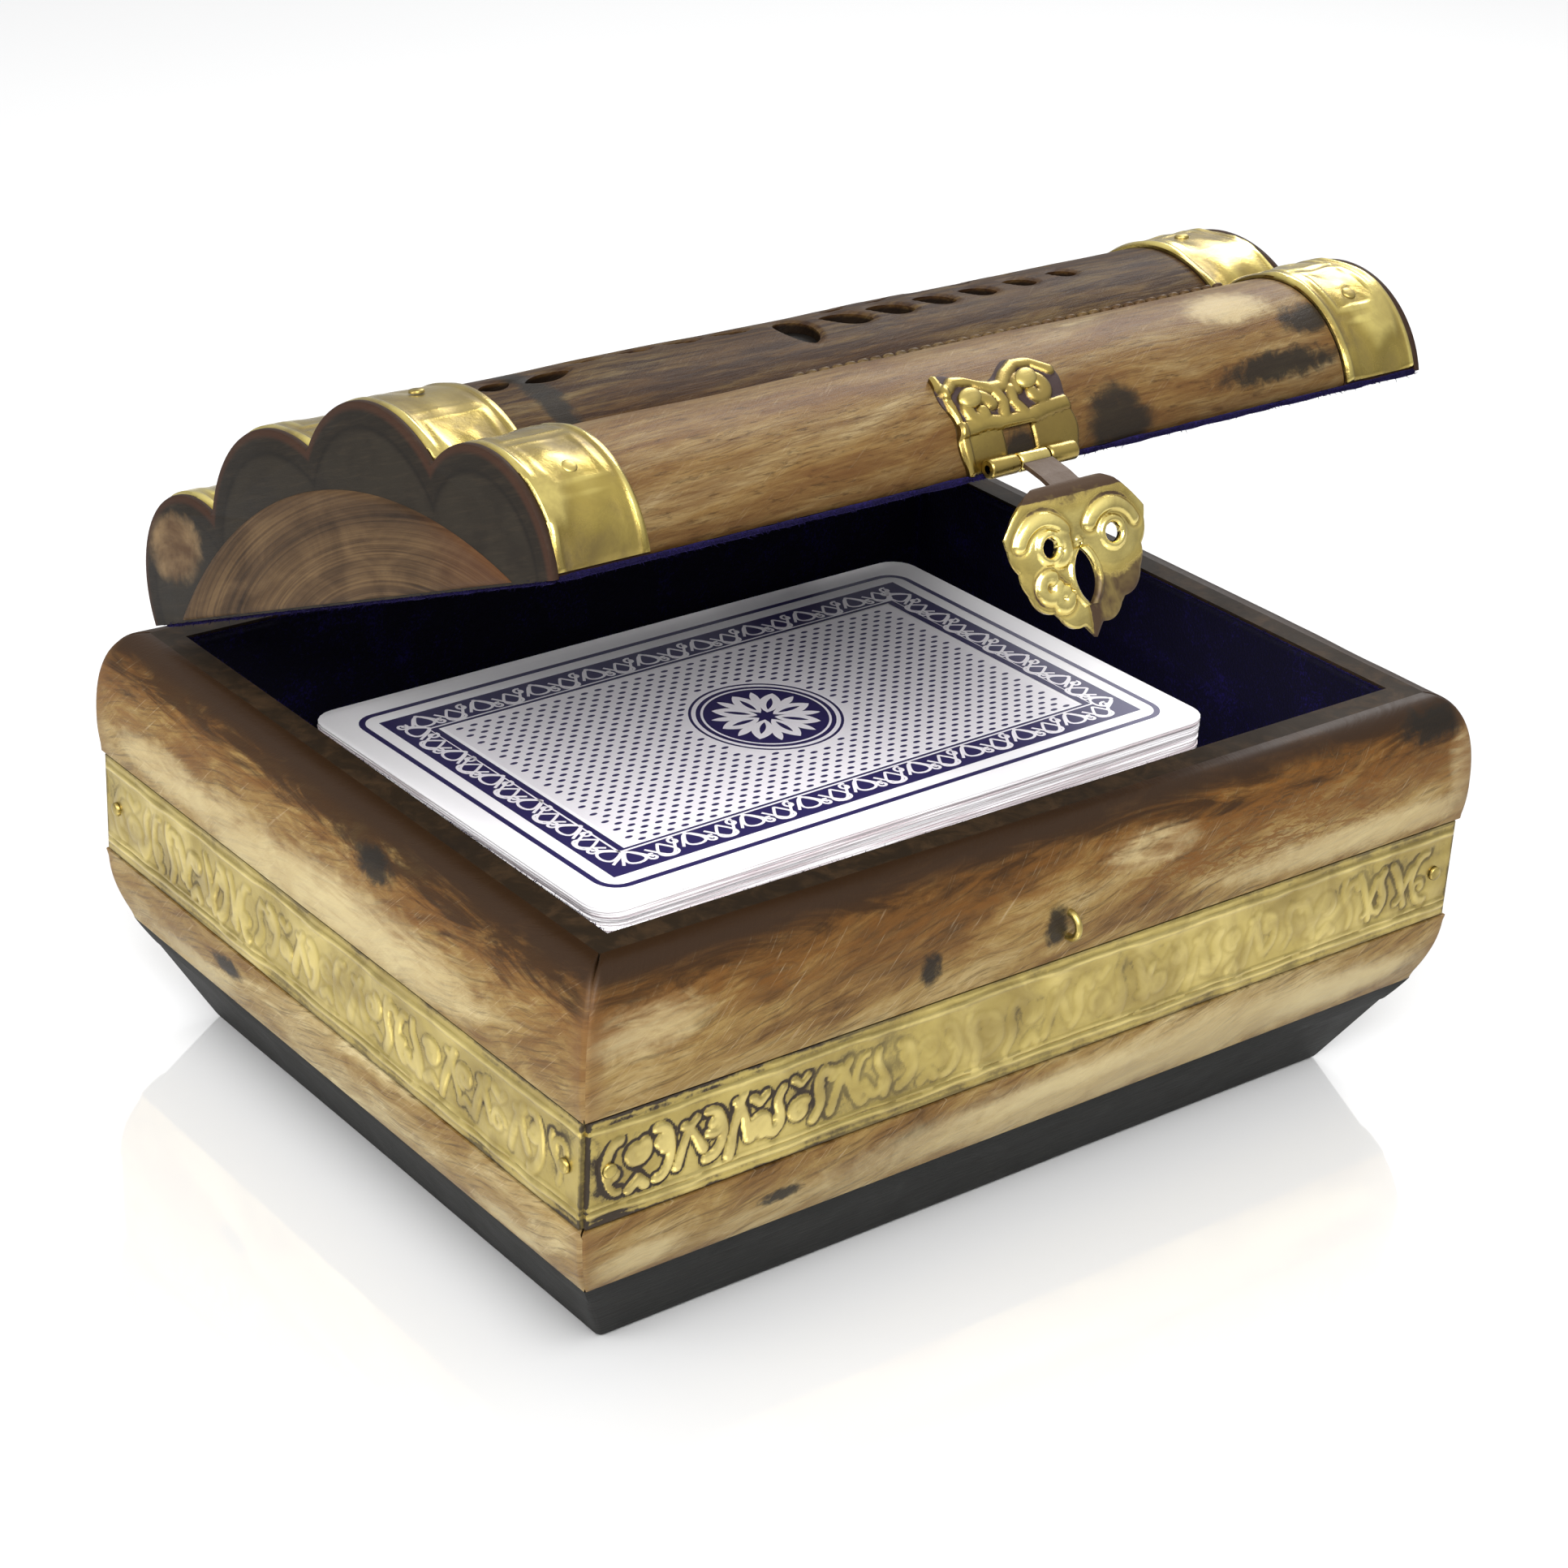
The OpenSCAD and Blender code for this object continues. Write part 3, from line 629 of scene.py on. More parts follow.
def brass(name, dirt, rough, lid=True, dirty_at=None, high=BRASS_HIGH, dark=PATINA_AND_SHADE, base=BRASS):
    """Embossed brass: bright on the relief, dark in its recesses and wherever a piece lowers its relief as
    painted shade. dirty_at is (side, start, end, more).
    """
    p = Paint(name, lid)
    relief = p.flow("Attribute", out="Fac", attribute_name="relief")
    cloud = p.noise(8, 4, 0.6, 0.8, seed=2)
    fleck = p.noise(1.1, 5, 0.7, 0.4, seed=5)
    grime = (cloud - 0.5) * 1.2 + dirt
    if dirty_at:
        side, start, end, more = dirty_at
        grime = grime + p.along(side).step(start, end) * more
    deep = (relief + (fleck - 0.5) * 0.8).step(0.48, 0.05) * grime
    deep = p.math("MAXIMUM", p.math("MINIMUM", deep, 1.0), 0.0)
    p.colour = p.mix(relief.step(0.45, 1.0), base, high)
    p.lay(cloud.step(0.35, 0.7) * 0.55, BRASS_DULL)
    p.lay(deep, dark)
    matte = p.math("MINIMUM", deep * 0.35 + rough + (fleck - 0.5) * 0.2, 1.0)
    return p.done(matte, 1.0 - deep * 0.6, height=fleck + p.noise(0.3, 2, 0.6) * 0.4, depth=0.03)


def plain_brass(name, dull):
    """Unworked brass: pins, wire, nails, hinge leaves."""
    p = Paint(name)
    cloud = p.noise(3.5, 4, 0.6, 0.5, seed=4)
    drawn = p.noise((4, 0.3, 0.3), 3, 0.6, seed=1)
    p.colour = p.mix(cloud.step(0.35, 0.75) * dull, BRASS, tone(96, 80, 44))
    return p.done(drawn * 0.25 + 0.26, 1.0, height=drawn + cloud, depth=0.02)


def black_wood(name, lid=False, base=tone(17, 17, 15), worn=tone(38, 36, 30), rings=False):
    """Black stained wood with open grain. rings marks the lobes and the rubbed edge of a lid end."""
    p = Paint(name, lid)
    grain = p.noise((0.4, 5, 0.5) if lid else (5, 5, 0.4), 4, 0.65, 0.4, seed=6)
    cloud = p.noise(8, 4, 0.6, 0.5, seed=1)
    p.colour = p.mix(grain.step(0.45, 0.8) * 0.5, base, worn)
    p.lay(cloud.step(0.5, 0.8) * 0.5, tone(22, 20, 17))
    if rings:
        depth = lobe_depth(p)
        p.lay((depth - 2.6).size().step(0.45, 0.0) * 0.4, tone(12, 10, 8))
        p.lay(depth.step(2.6, 3.4) * cloud.step(0.3, 0.6) * 0.25, tone(48, 43, 34))
        p.lay((depth - 0.4).size().step(0.8, 0.1) * 0.5, tone(58, 34, 22))
        p.lay(p.spot(p.u, p.v, (13.5, 8.5), (5.5, 3.6), 0.5, 3.0, 0.6) * 0.85,
              p.mix(cloud.step(0.35, 0.65), tone(120, 98, 68), tone(70, 50, 31)))
    return p.done(cloud * 0.25 + 0.48, height=grain, depth=0.06, gloss=0.1)


def dark_wood(name):
    """The walls: brown stained wood, black on the foot rail."""
    p = Paint(name)
    grain = p.noise((3, 3, 0.5), 4, 0.65, 0.5, seed=8)
    cloud = p.noise(10, 4, 0.6, 0.8, seed=3)
    p.colour = p.mix(grain.step(0.4, 0.75) * 0.6, tone(32, 24, 15), tone(62, 46, 30))
    p.lay(cloud.step(0.5, 0.75) * 0.5, tone(24, 18, 13))
    p.lay(p.z.step(BONE_LOW + 0.3, BONE_LOW + 0.2), tone(18, 18, 16))
    return p.done(cloud * 0.2 + 0.55, height=grain, depth=0.06, gloss=0.1)


def velvet(name, base=tone(8, 7, 18), fuzz=tone(40, 28, 120), weight=0.5, lid=False):
    p = Paint(name, lid)
    pile = p.noise(0.35, 3, 0.7, seed=2)
    brushed = p.noise(7, 3, 0.6, 1.0, seed=7)
    p.colour = p.mix((pile * 0.6 + brushed * 0.4).step(0.5, 0.8) * 0.5, base, fuzz)
    return p.done(0.95, height=pile, depth=0.15, gloss=0.1, Sheen_Weight=weight,
                  Sheen_Roughness=0.35, Sheen_Tint=tone(70, 56, 170))


def card_paper(name, top):
    """Card stock: coated white with faint fibres and clouds, and painted shade as grey lines between the
    cards below top.
    """
    p = Paint(name)
    fibre = p.noise(0.25, 3, 0.6, seed=1)
    cloud = p.noise(18, 3, 0.5, seed=2)
    p.colour = p.mix(cloud.step(0.4, 0.7) * 0.5, tone(251, 249, 250), tone(244, 241, 244))
    p.lay(fibre.step(0.6, 0.9) * 0.3, tone(226, 218, 220))
    # Painted shade: grey lines on the pack's sides, below the top card, stand for the shade between the
    # cards.
    layers = p.noise((30, 30, 0.33), 3, 0.75, seed=5)
    p.lay(p.z.step(top - 0.16, top - 0.2) * layers.step(0.44, 0.58) * 0.75, tone(176, 160, 164))
    return p.done(cloud * 0.1 + 0.4, height=fibre, depth=0.01, gloss=0.3)


def card_ink(name, colour, worn=tone(60, 52, 96)):
    p = Paint(name)
    speck = p.noise(0.3, 3, 0.6, seed=4)
    p.colour = p.mix(speck.step(0.55, 0.85) * 0.6, colour, worn)
    return p.done(speck * 0.1 + 0.35)


# ---------------------------------------------------------------- camera, light, floor

YAW, PITCH, ROLL = (math.radians(a) for a in (38.97, 26.3, 3.11))
CAMERA_AT = (-0.2329, -0.2887, 0.2156)
LENS, SENSOR = 81.5, 36
LIGHTS = {
    # name: (place, height of its target, size, power)
    "key": ((-0.32, -0.50, 0.62), 0.04, 0.45, 10.0),
    "fill": ((-0.7, 0.0, 0.35), 0.03, 0.4, 3.5),
    "back": ((0.45, 0.3, 0.5), 0.05, 0.3, 2.5),
}
FLOOR_REACH, FLOOR_Z = 3.0, -0.00005


def add_camera():
    data = bpy.data.cameras.new("camera")
    data.lens, data.sensor_width = LENS, SENSOR
    data.clip_start, data.clip_end = 0.01, 10
    data.shift_x, data.shift_y = -0.001, 0.008
    camera = add("camera", data)
    turn = Matrix.Rotation(-YAW, 4, "Z") @ Matrix.Rotation(math.pi / 2 - PITCH, 4, "X")
    camera.matrix_world = Matrix.Translation(CAMERA_AT) @ turn @ Matrix.Rotation(ROLL, 4, "Z")
    bpy.context.scene.camera = camera


def add_studio():
    world = bpy.data.worlds.new("studio")
    bpy.context.scene.world = world
    world.use_nodes = True
    nodes, links = world.node_tree.nodes, world.node_tree.links
    sky = nodes["Background"]
    direction, height = nodes.new("ShaderNodeTexCoord"), nodes.new("ShaderNodeSeparateXYZ")
    shade = nodes.new("ShaderNodeValToRGB")
    links.new(direction.outputs["Generated"], height.inputs[0])
    links.new(height.outputs["Z"], shade.inputs[0])
    links.new(shade.outputs[0], sky.inputs["Color"])
    low, high = shade.color_ramp.elements
    low.position, low.color = 0.0, (0.42, 0.42, 0.43, 1)
    high.position, high.color = 0.75, (1, 1, 1, 1)
    sky.inputs["Strength"].default_value = 1.15
    for name, (place, target, size, power) in LIGHTS.items():
        data = bpy.data.lights.new(name, "AREA")
        data.size, data.energy = size, power
        light = add(name, data)
        light.location = place
        way = Vector((0, 0, target)) - Vector(place)
        light.rotation_euler = way.to_track_quat("-Z", "Y").to_euler()
    mesh = bpy.data.meshes.new("floor")
    corners = [(x * FLOOR_REACH, y * FLOOR_REACH, FLOOR_Z) for x, y in ((-1, -1), (1, -1), (1, 1), (-1, 1))]
    mesh.from_pydata(corners, [], [(0, 1, 2, 3)])
    paint = Paint("floor_paint")
    paint.colour = (0.68, 0.68, 0.68, 1)
    mesh.materials.append(paint.done(rough=0.05, metallic=0.28))
    add("floor", mesh)
    bpy.context.scene.view_settings.view_transform = "Standard"


add_camera()
add_studio()

# ---------------------------------------------------------------- box


def lower_inset(z):
    """How far in the lower bone's face lies at each height."""
    t = np.clip((BELLY_Z - z) / (BELLY_Z - PLINTH_TOP), 0, 1)
    return WAIST_INSET * t**1.9


def upper_inset(z):
    """How far in the upper bone's face lies at each height: a bulge, then a round shoulder."""
    low = np.clip((BULGE_Z - z) / (BULGE_Z - BAND_HIGH), 0, 1)
    high = np.clip((z - BULGE_Z) / (RIM - BULGE_Z), 0, 1)
    shoulder = CORE_OUT - (CORE_OUT + BULGE) * (1 - high**2.4) ** (1 / 2.4)
    return np.where(z < BULGE_Z, -BULGE * (1 - low**2), shoulder)


def spread_ends(count, edge):
    """Places from -1 to 1, closer together near the ends."""
    t = np.linspace(-1, 1, count)
    return np.sign(t) * (1 - (1 - np.abs(t)) ** edge)


def bone_panel(name, side, outer, back, paint, uneven, seed):
    """A mitred bone panel from its outer outline and its back, each a list of (inset, z)."""
    ring = np.concatenate([outer, back])
    count = len(outer)
    ends = smooth(np.minimum(np.arange(count), np.arange(count)[::-1]) / 4)
    normal = normals(outer)
    run = half_of(side + 1) - SEAM / 2
    rounding = 0.55
    rings = []
    for s in spread_ends(150, 1.35):
        along = s * (run - ring[:, 0])
        place = on_side(side, along, ring[:, 0], ring[:, 1])[:count]
        bump = uneven * wobble(place, 13, seed) - rounding * (1 - quarter((1 - abs(s)) * run / rounding))
        bump += 0.35 * uneven * wobble(place, 4.5, seed + 1)
        moved = ring.copy()
        moved[:count] += normal * np.minimum(bump * ends, 0.1)[:, None]
        rings.append(on_side(side, along, moved[:, 0], moved[:, 1]))
    make(name, loft(rings), paint, "box", crease=50)


PROFILE_STEPS = 30
UPPER_FOOT, LOWER_TOP = BAND_HIGH + SEAM, BAND_LOW - SEAM
upper_z = BULGE_Z + (RIM - BULGE_Z) * np.sin(np.linspace(0, math.pi / 2, PROFILE_STEPS))
upper_z = np.concatenate([np.linspace(UPPER_FOOT, BULGE_Z, 12)[:-1], upper_z])
lower_z = np.linspace(BONE_LOW, LOWER_TOP, PROFILE_STEPS)
UPPER_FACE = np.stack([upper_inset(upper_z), upper_z], 1)
LOWER_FACE = np.stack([lower_inset(lower_z), lower_z], 1)

# Patches are ((along, z), (half width, half height), seed), for each side in turn.
UPPER_DARK = (
    (((-1.7, 38.2), (1.5, 2.3), 2.0), ((-19, 38.3), (1.4, 1.9), 3.0), ((56, 47), (5.5, 1.8), 4.0)),
    (((22, 42), (1.6, 1.2), 3.0),),
    (((-30, 38), (1.4, 1.8), 5.0),),
    (((10.5, 45.0), (3.4, 1.8), 1.0),),
)
UPPER_PALE = (
    (((-55, 42.5), (7, 2.6), 2.0), ((46, 36.6), (20, 1.8), 3.0), ((61, 42), (2.4, 5), 5.0),
     ((12, 44), (6, 2), 8.0)),
    (((-30, 38), (12, 2.5), 6.0),),
    (((10, 37), (16, 3), 7.0),),
    (((12, 38), (17, 3.6), 4.0), ((-34, 38), (9, 2.6), 9.0), ((-8, 37), (26, 3.4), 11.0)),
)
LOWER_DARK = (
    (((-36.5, 16.6), (2.6, 0.9), 2.0),),
    (),
    (((22, 15), (2.2, 1.0), 6.0),),
    (((-21, 18.3), (3.0, 1.2), 3.0),),
)
LOWER_PALE = (
    (((-54, 15), (5, 2.0), 1.0), ((2, 17.5), (14, 1.2), 2.0), ((46, 16), (10, 2.0), 3.0),
     ((16, 16), (44, 3.4), 9.0)),
    (((20, 15), (9, 3), 4.0),),
    (((-20, 16), (14, 3), 5.0),),
    (((-30, 14), (8, 2), 6.0), ((34, 14), (6, 1.4), 7.0)),
)
TINT = (0.53, 0.5, 0.52, 0.49)
BURNT = ((44.6, 48.6), (43.5, 47.0), (43.5, 47.0), (43.8, 47.6))

for side, word in enumerate(SIDES):
    name = f"upper_bone_{word}"
    paint = box_bone(name, side, TINT[side], BURNT[side], UPPER_DARK[side], UPPER_PALE[side],
                     swirl=(4, 54) if side == FRONT else None)
    bone_panel(name, side, UPPER_FACE, [(CORE_OUT, UPPER_FOOT)], paint, 0.11, 20 + side)
    name = f"lower_bone_{word}"
    paint = box_bone(name, side, TINT[side] - 0.006, None, LOWER_DARK[side], LOWER_PALE[side])
    bone_panel(name, side, LOWER_FACE, [(CORE_OUT, LOWER_TOP), (CORE_OUT, BONE_LOW)], paint, 0.09, 40 + side)


def plinth():
    """The black base: a loft of rectangles with small round corners."""
    levels = PLINTH_TOP * np.linspace(0, 1, 26)
    inset = FOOT_INSET - (FOOT_INSET - WAIST_INSET) * levels / PLINTH_TOP
    rounding = 0.5
    rings = []
    for z, d in zip(levels, inset + rounding * (1 - quarter(levels / rounding))):
        flat = rounded(2 * (HALF_L - d), 2 * (HALF_W - d), 0.7)
        dense = [p + (q - p) * k / 8 for p, q in zip(flat, np.roll(flat, -1, 0)) for k in range(8)]
        rings.append(raised(dense, z))
    rings = np.array(rings)
    rings += unit(rings * (1, 1, 0)) * (0.04 * wobble(rings, 9, 5) - 0.05)[..., None]
    make("plinth", loft(rings), black_wood("plinth_paint"), "box", crease=60)


plinth()

# ---------------------------------------------------------------- brass band


def curls(start, end, rng):
    """Lines of a crowded running ornament: hooked stems, curls, bent leaves, in no strict order."""
    lines = []
    s, kind = start, 0
    t = np.linspace(0, 1, 14)
    while s < end:
        w, h = rng.uniform(1.5, 2.5), rng.uniform(2.3, 3.3)
        way, lean = rng.choice((-1, 1)), rng.uniform(-0.7, 0.7)
        middle = s + w / 2
        if kind % 4 == 0:
            bow = w * (0.5 + 0.5 * way * np.cos(math.pi * (t - 0.5) * 1.5))
            lines.append(np.stack([s + bow, h * np.sin(math.pi * (t - 0.5) * 1.1)], 1))
            lines.append(spiral((middle, way * h * 0.35), w * 0.42, rng.uniform(0, 6), way * 0.8, 0.3, 12))
        elif kind % 4 == 1:
            stem = middle + lean * (t - 0.5) * 2 + 0.5 * np.sin(6 * t)
            lines.append(np.stack([stem, h * (2 * t - 1)], 1))
            lines.append(arc((middle + way * 0.8, way * h * 0.55), 0.9, 90 * way - 90, 90 * way + 120, 10))
        elif kind % 4 == 2:
            lines.append(spiral((middle, way * 0.9), w * 0.62, rng.uniform(0, 6), -way * 1.2, 0.25, 22))
            lines.append([(s + 0.2, -way * h), (s + w * 0.6, -way * h * 0.7), (s + w, -way * h)])
        else:
            lines.append(np.stack([s + w * t, way * h * (1 - 2 * t) + 0.8 * np.sin(math.pi * t)], 1))
            lines.append(np.stack([s + w * t + 0.9, -way * h * 0.8 * np.cos(2.4 * t)], 1))
        kind += int(rng.integers(1, 4))
        s += w + rng.uniform(0.7, 1.2)
    return lines


def band(side):
    """One brass strip, embossed in the mesh and more worn in the middle of the front."""
    name = f"band_{SIDES[side]}"
    half = half_of(side + 1) - 2 * SEAM
    pitch, rows = 0.24, 54
    outer_rail, inner_rail = 4.75, -3.95
    motif_rise, groove_drop, rail_rise = 0.24, 0.1, 0.2
    along = np.linspace(-half, half, int(half * 2 / pitch))
    up = np.linspace(-BAND_HALF, BAND_HALF, rows)
    a, b = grid(along, up)
    points = np.stack([a, b], -1)
    distance = near(along, up, curls(-half + 2.2, half - 3.4, np.random.default_rng(90 + side)), 1.3)
    distance = distance + 0.12 * wobble(points, 2.5, 77)
    strength = 0.66 + 0.32 * wobble(points, 12, 3 + side)
    strength = strength + 0.25 * (a * (1 if side == LEFT else -1) > half - 14)
    if side == FRONT:
        strength *= 1.1 - 0.62 * smooth((a + 20) / 30) + 0.6 * smooth((a - 44) / 5)
        strength *= 1 - 0.7 * hollow(a - 38, 7)
    if side == LEFT:
        strength *= 0.62
    strength = np.clip(strength + 0.12 * wobble(points, 3.5, 61), 0.22, 1.15)
    strength = smooth((4.0 - np.abs(b + 0.25)) / 0.5) * strength
    motif = ridge(np.maximum(distance, 0), 0.58) * strength
    groove = hollow(distance - 0.78, 0.2) * strength
    line_wave = 0.12 * wobble(points * (1, 0), 6, 5)
    borders = ridge(np.abs(b + line_wave) - outer_rail, 0.36)
    borders = np.maximum(borders, 0.7 * ridge(b - inner_rail + line_wave, 0.25))
    dents = 0.10 * wobble(points, 5, 8 + side) + 0.075 * wobble(points, 1.7, 30 + side)
    height = motif_rise * motif - groove_drop * groove + rail_rise * borders + dents * 0.8 - 0.1
    edge = np.minimum(half - np.abs(a), BAND_HALF - np.abs(b))
    height = height * smooth(edge / 0.5) - 0.12 * (1 - smooth(edge / 0.35))
    relief = 0.55 + 0.45 * np.maximum(motif, borders) - 0.62 * groove + 1.6 * dents
    # Painted shadow: a dark line near the top and bottom edges, and darker brass along every edge.
    relief -= 0.25 * hollow(np.abs(b) - 5.3, 0.22) + 0.5 * (1 - smooth(edge / 0.5))
    relief = np.clip(relief, 0, 1)
    dirty = (side, -half + 30, half, 0.3) if side == LEFT else (side, -half + 40, -half + 12, 0.75)
    paint = brass(f"{name}_paint", 0.62, 0.34, lid=False, dirty_at=dirty)
    shape = shell(on_side(side, a, -height, b + BAND_MID), on_side(side, a, BAND_T, b + BAND_MID))
    both = np.concatenate([relief.ravel(), np.full(relief.size, 0.3)])
    make(name, shape, paint, "box", relief=both)


def small_nails():
    """Domed heads for the band's nails."""
    from_corner, radius, height = 3.2, 0.85, 0.38
    heads = []
    for side in range(4):
        for end in (-1, 1):
            place = on_side(side, end * (half_of(side + 1) - from_corner), -0.02, BAND_MID)
            normal = on_side(side, 0.0, -1.0, 0.0) - on_side(side, 0.0, 0.0, 0.0)
            heads.append(nail_head(place, normal, radius, height, along=(0, 0, 1)))
    make("band_nails", gather(heads), plain_brass("nail_paint", 0.8), "box")


for side in range(4):
    band(side)
small_nails()

# ---------------------------------------------------------------- lid straps and ends


def lid_outline(pitch, soften):
    """Points (u, v) of the lid's lobed outline from its front foot to its back foot, with normals."""
    points, out = [], []
    for i in reversed(range(len(LOBES))):
        u0, v0, r = LOBES[i]
        start, end = lobe_range(i)
        count = max(4, int((end - start) * r / pitch))
        angle = np.linspace(start, end, count, endpoint=i == BACK_LOBE)
        points.append(polar((u0, v0), r, angle))
        out.append(polar((0, 0), 1, angle))
    points, out = np.concatenate(points), np.concatenate(out)
    for _ in range(soften):
        for line in (points, out):
            line[1:-1] = (line[:-2] + 2 * line[1:-1] + line[2:]) / 4
    return points, unit(out)


def strap(side, word):
    """One hammered end strap with worked squares, folded over the lobes."""
    name = f"lid_strap_{word}"
    line, normal = lid_outline(0.26, 6)
    keep = line[:, 1] > 0.3
    line, normal = line[keep], normal[keep]
    length = np.concatenate([[0], np.cumsum(np.hypot(*np.diff(line, axis=0).T))])
    s, x = grid(length, np.linspace(STRAP_IN, STRAP_OUT, 44))
    from_mid = np.abs(x - STRAP_MID)
    points = np.stack([s, x * side], -1)
    pitch, half_s, half_x = 8.6, 3.5, 3.3
    motif_rise = border_rise = 0.16
    place = np.abs((s + 1.5 + 0.5 * wobble(points, 20, 2)) % pitch - pitch / 2)
    in_square = np.maximum(place / half_s, from_mid / half_x)
    frame_line = np.minimum(np.abs(place - half_s), np.abs(from_mid - half_x))
    frames = ridge(np.where(in_square < 1.12, frame_line, 1.0), 0.38)
    cross = ridge(np.abs(place * 0.8 - from_mid), 0.5) * (in_square < 0.85) * 0.22
    boss = np.clip(1 - np.hypot(place, from_mid) / 1.3, 0, 1)
    borders = ridge(np.abs(from_mid - (STRAP_HALF - 0.55)), 0.4)
    hammer = 0.15 * wobble(points, 4.2, 12) + 0.09 * wobble(points, 2.1, 13)
    strength = np.clip(0.5 + 0.45 * wobble(points, 11, 14), 0.1, 0.9)
    motif = np.maximum(np.maximum(frames, cross), boss) * strength
    height = motif_rise * motif + border_rise * borders + hammer * 1.15
    edge = np.minimum(STRAP_HALF - from_mid, np.minimum(s, length[-1] - s))
    height = np.minimum(height * smooth(edge / 0.4) - 0.12 * (1 - smooth(edge / 0.3)), 0.28)
    relief = np.clip(0.35 + 0.65 * np.maximum(motif, borders) + 2.2 * hammer, 0, 1)

    def skin(out):
        u, v = (line[:, k][:, None] + normal[:, k][:, None] * out for k in range(2))
        return on_lid(side * x, u, v)

    both = np.concatenate([relief.ravel(), np.full(relief.size, 0.4)])
    paint = brass(f"strap_{word}_paint", 0.38, 0.24, high=tone(214, 197, 118), base=tone(162, 143, 76))
    make(name, shell(skin(height), skin(0.02 - STRAP_T)), paint, "lid", relief=both)


def strap_nails():
    heads = [lobe_nail(i, side * STRAP_MID, degrees, -0.05, 0.85, 0.36)
             for side, _ in LID_ENDS for i, degrees in enumerate((134, 99, 77, 41))]
    make("lid_strap_nails", gather(heads), plain_brass("strap_nail_paint", 0.7), "lid")


def lid_end(side, word, paint):
    """A lobed end board with a rounded flange, and the block that it is cut from."""
    gap = 0.05
    levels = ((STRAP_IN, STRAP_T + gap), (STRAP_OUT, STRAP_T + gap), (STRAP_OUT, 0.1),
              (STRAP_OUT + 0.15, 0.0), (END_X - 0.3, 0.0), (END_X - 0.1, 0.08), (END_X, 0.3))
    line, normal = lid_outline(0.5, 1)
    rings = []
    for x, shrink in levels:
        u, v = (line - normal * shrink).T
        rings.append(on_lid(side * x, u, np.maximum(v, 0)))
    make(f"lid_end_{word}", loft(rings), paint, "lid")


def lid_tile(side, word, paint):
    """The half-moon of bone on the lid's end, slightly domed and rounded at its edge."""
    radius = (TILE_L**2 / 4 + TILE_H**2) / (2 * TILE_H)
    margin, foot, proud, sunk = 0.5, 0.3, 0.3, 0.6
    u = np.linspace(TILE_U - TILE_L / 2 - margin, TILE_U + TILE_L / 2 + margin, 150)
    v = np.linspace(0.0, TILE_H + margin, 40)

    def inside(a, b):
        return np.minimum(radius - np.hypot(a - TILE_U, b - TILE_H + radius), b - foot)

    flat, faces = cut_grid(u, v, inside)
    dome = proud * quarter(inside(*flat.T) / 0.7) + 0.05 * wobble(flat, 12, 4)
    front = on_lid(side * (END_X + np.clip(dome, 0.02, proud)), *flat.T)
    back = on_lid(side * (END_X - sunk), *flat.T)
    make(f"lid_tile_{word}", shell(front, back, faces), paint, "lid")


def tile_paint():
    """Grey-cream bone with curved brown growth lines."""
    p = Paint("tile_paint", lid=True)
    a, b = (p.u - 56.0) * 0.45, p.v + 7.0
    reach = p.math("SQRT", a * a + b * b)
    rings = p.noise((40, 0.55, 1.6), 5, 0.66, 0.2, seed=3, at=p.join(0.0, reach, p.noise(16, 2, 0.5) * 1.2))
    broad = p.noise((20, 12, 5), 4, 0.6, 1.0, seed=8)
    p.colour = p.ramp(rings * 0.7 + broad * 0.35, (0.38, tone(86, 67, 43)), (0.53, tone(60, 44, 27)),
                      (0.66, tone(30, 20, 11)))
    p.lay(p.u.step(64, 80) * 0.6, tone(66, 38, 20))
    p.lay(p.v.step(7, 12) * 0.45, tone(58, 42, 27))
    return p.done(broad * 0.2 + 0.42, height=rings, depth=0.06, gloss=0.08)


end_paint = black_wood("lid_end_paint", lid=True, base=tone(24, 20, 15), worn=tone(46, 38, 28), rings=True)
half_moon_paint = tile_paint()
for side, word in LID_ENDS:
    strap(side, word)
    lid_end(side, word, end_paint)
    lid_tile(side, word, half_moon_paint)
strap_nails()

# ---------------------------------------------------------------- lid covers


def cover(i, paint, holes=None):
    """A bone cover over one lobe, pierced where holes is above 0."""
    name = f"lid_cover_{LOBE_NAMES[i]}"
    uneven, hole_rounding = 0.08, 0.22
    start, end = lobe_range(i, STRAP_T)
    radius = LOBES[i][2] - STRAP_T
    foot = 0.25 / radius
    start, end = start + foot * (i == FRONT_LOBE), end - foot * (i == BACK_LOBE)
    width = (end - start) * radius
    columns, pitch, gap = 262, 0.36, 0.15
    x = np.linspace(-STRAP_IN + gap, STRAP_IN - gap, columns)

    def inside(a, b):
        return -holes(a, b) if holes else np.ones_like(a)

    flat, faces = cut_grid(x, np.linspace(0, width, int(width / pitch)), inside)
    x, s = flat.T
    bump = uneven * wobble(flat, 14, 60 + i) + 0.4 * uneven * wobble(flat, 5, 70 + i)
    from_edge = np.minimum(s, width - s)
    bump = np.minimum(bump * smooth(from_edge / 3) - 0.25 * (1 - smooth(from_edge / 0.5)), 0.2)
    if holes:
        bump -= hole_rounding * (1 - smooth(inside(x, s) / 0.45))
    angle = start + s / radius
    front = on_lobe(i, x, angle, bump - STRAP_T)
    back = on_lobe(i, x, angle, -STRAP_T - COVER_T + 0.03)
    make(name, shell(front, back, faces), paint, "lid")


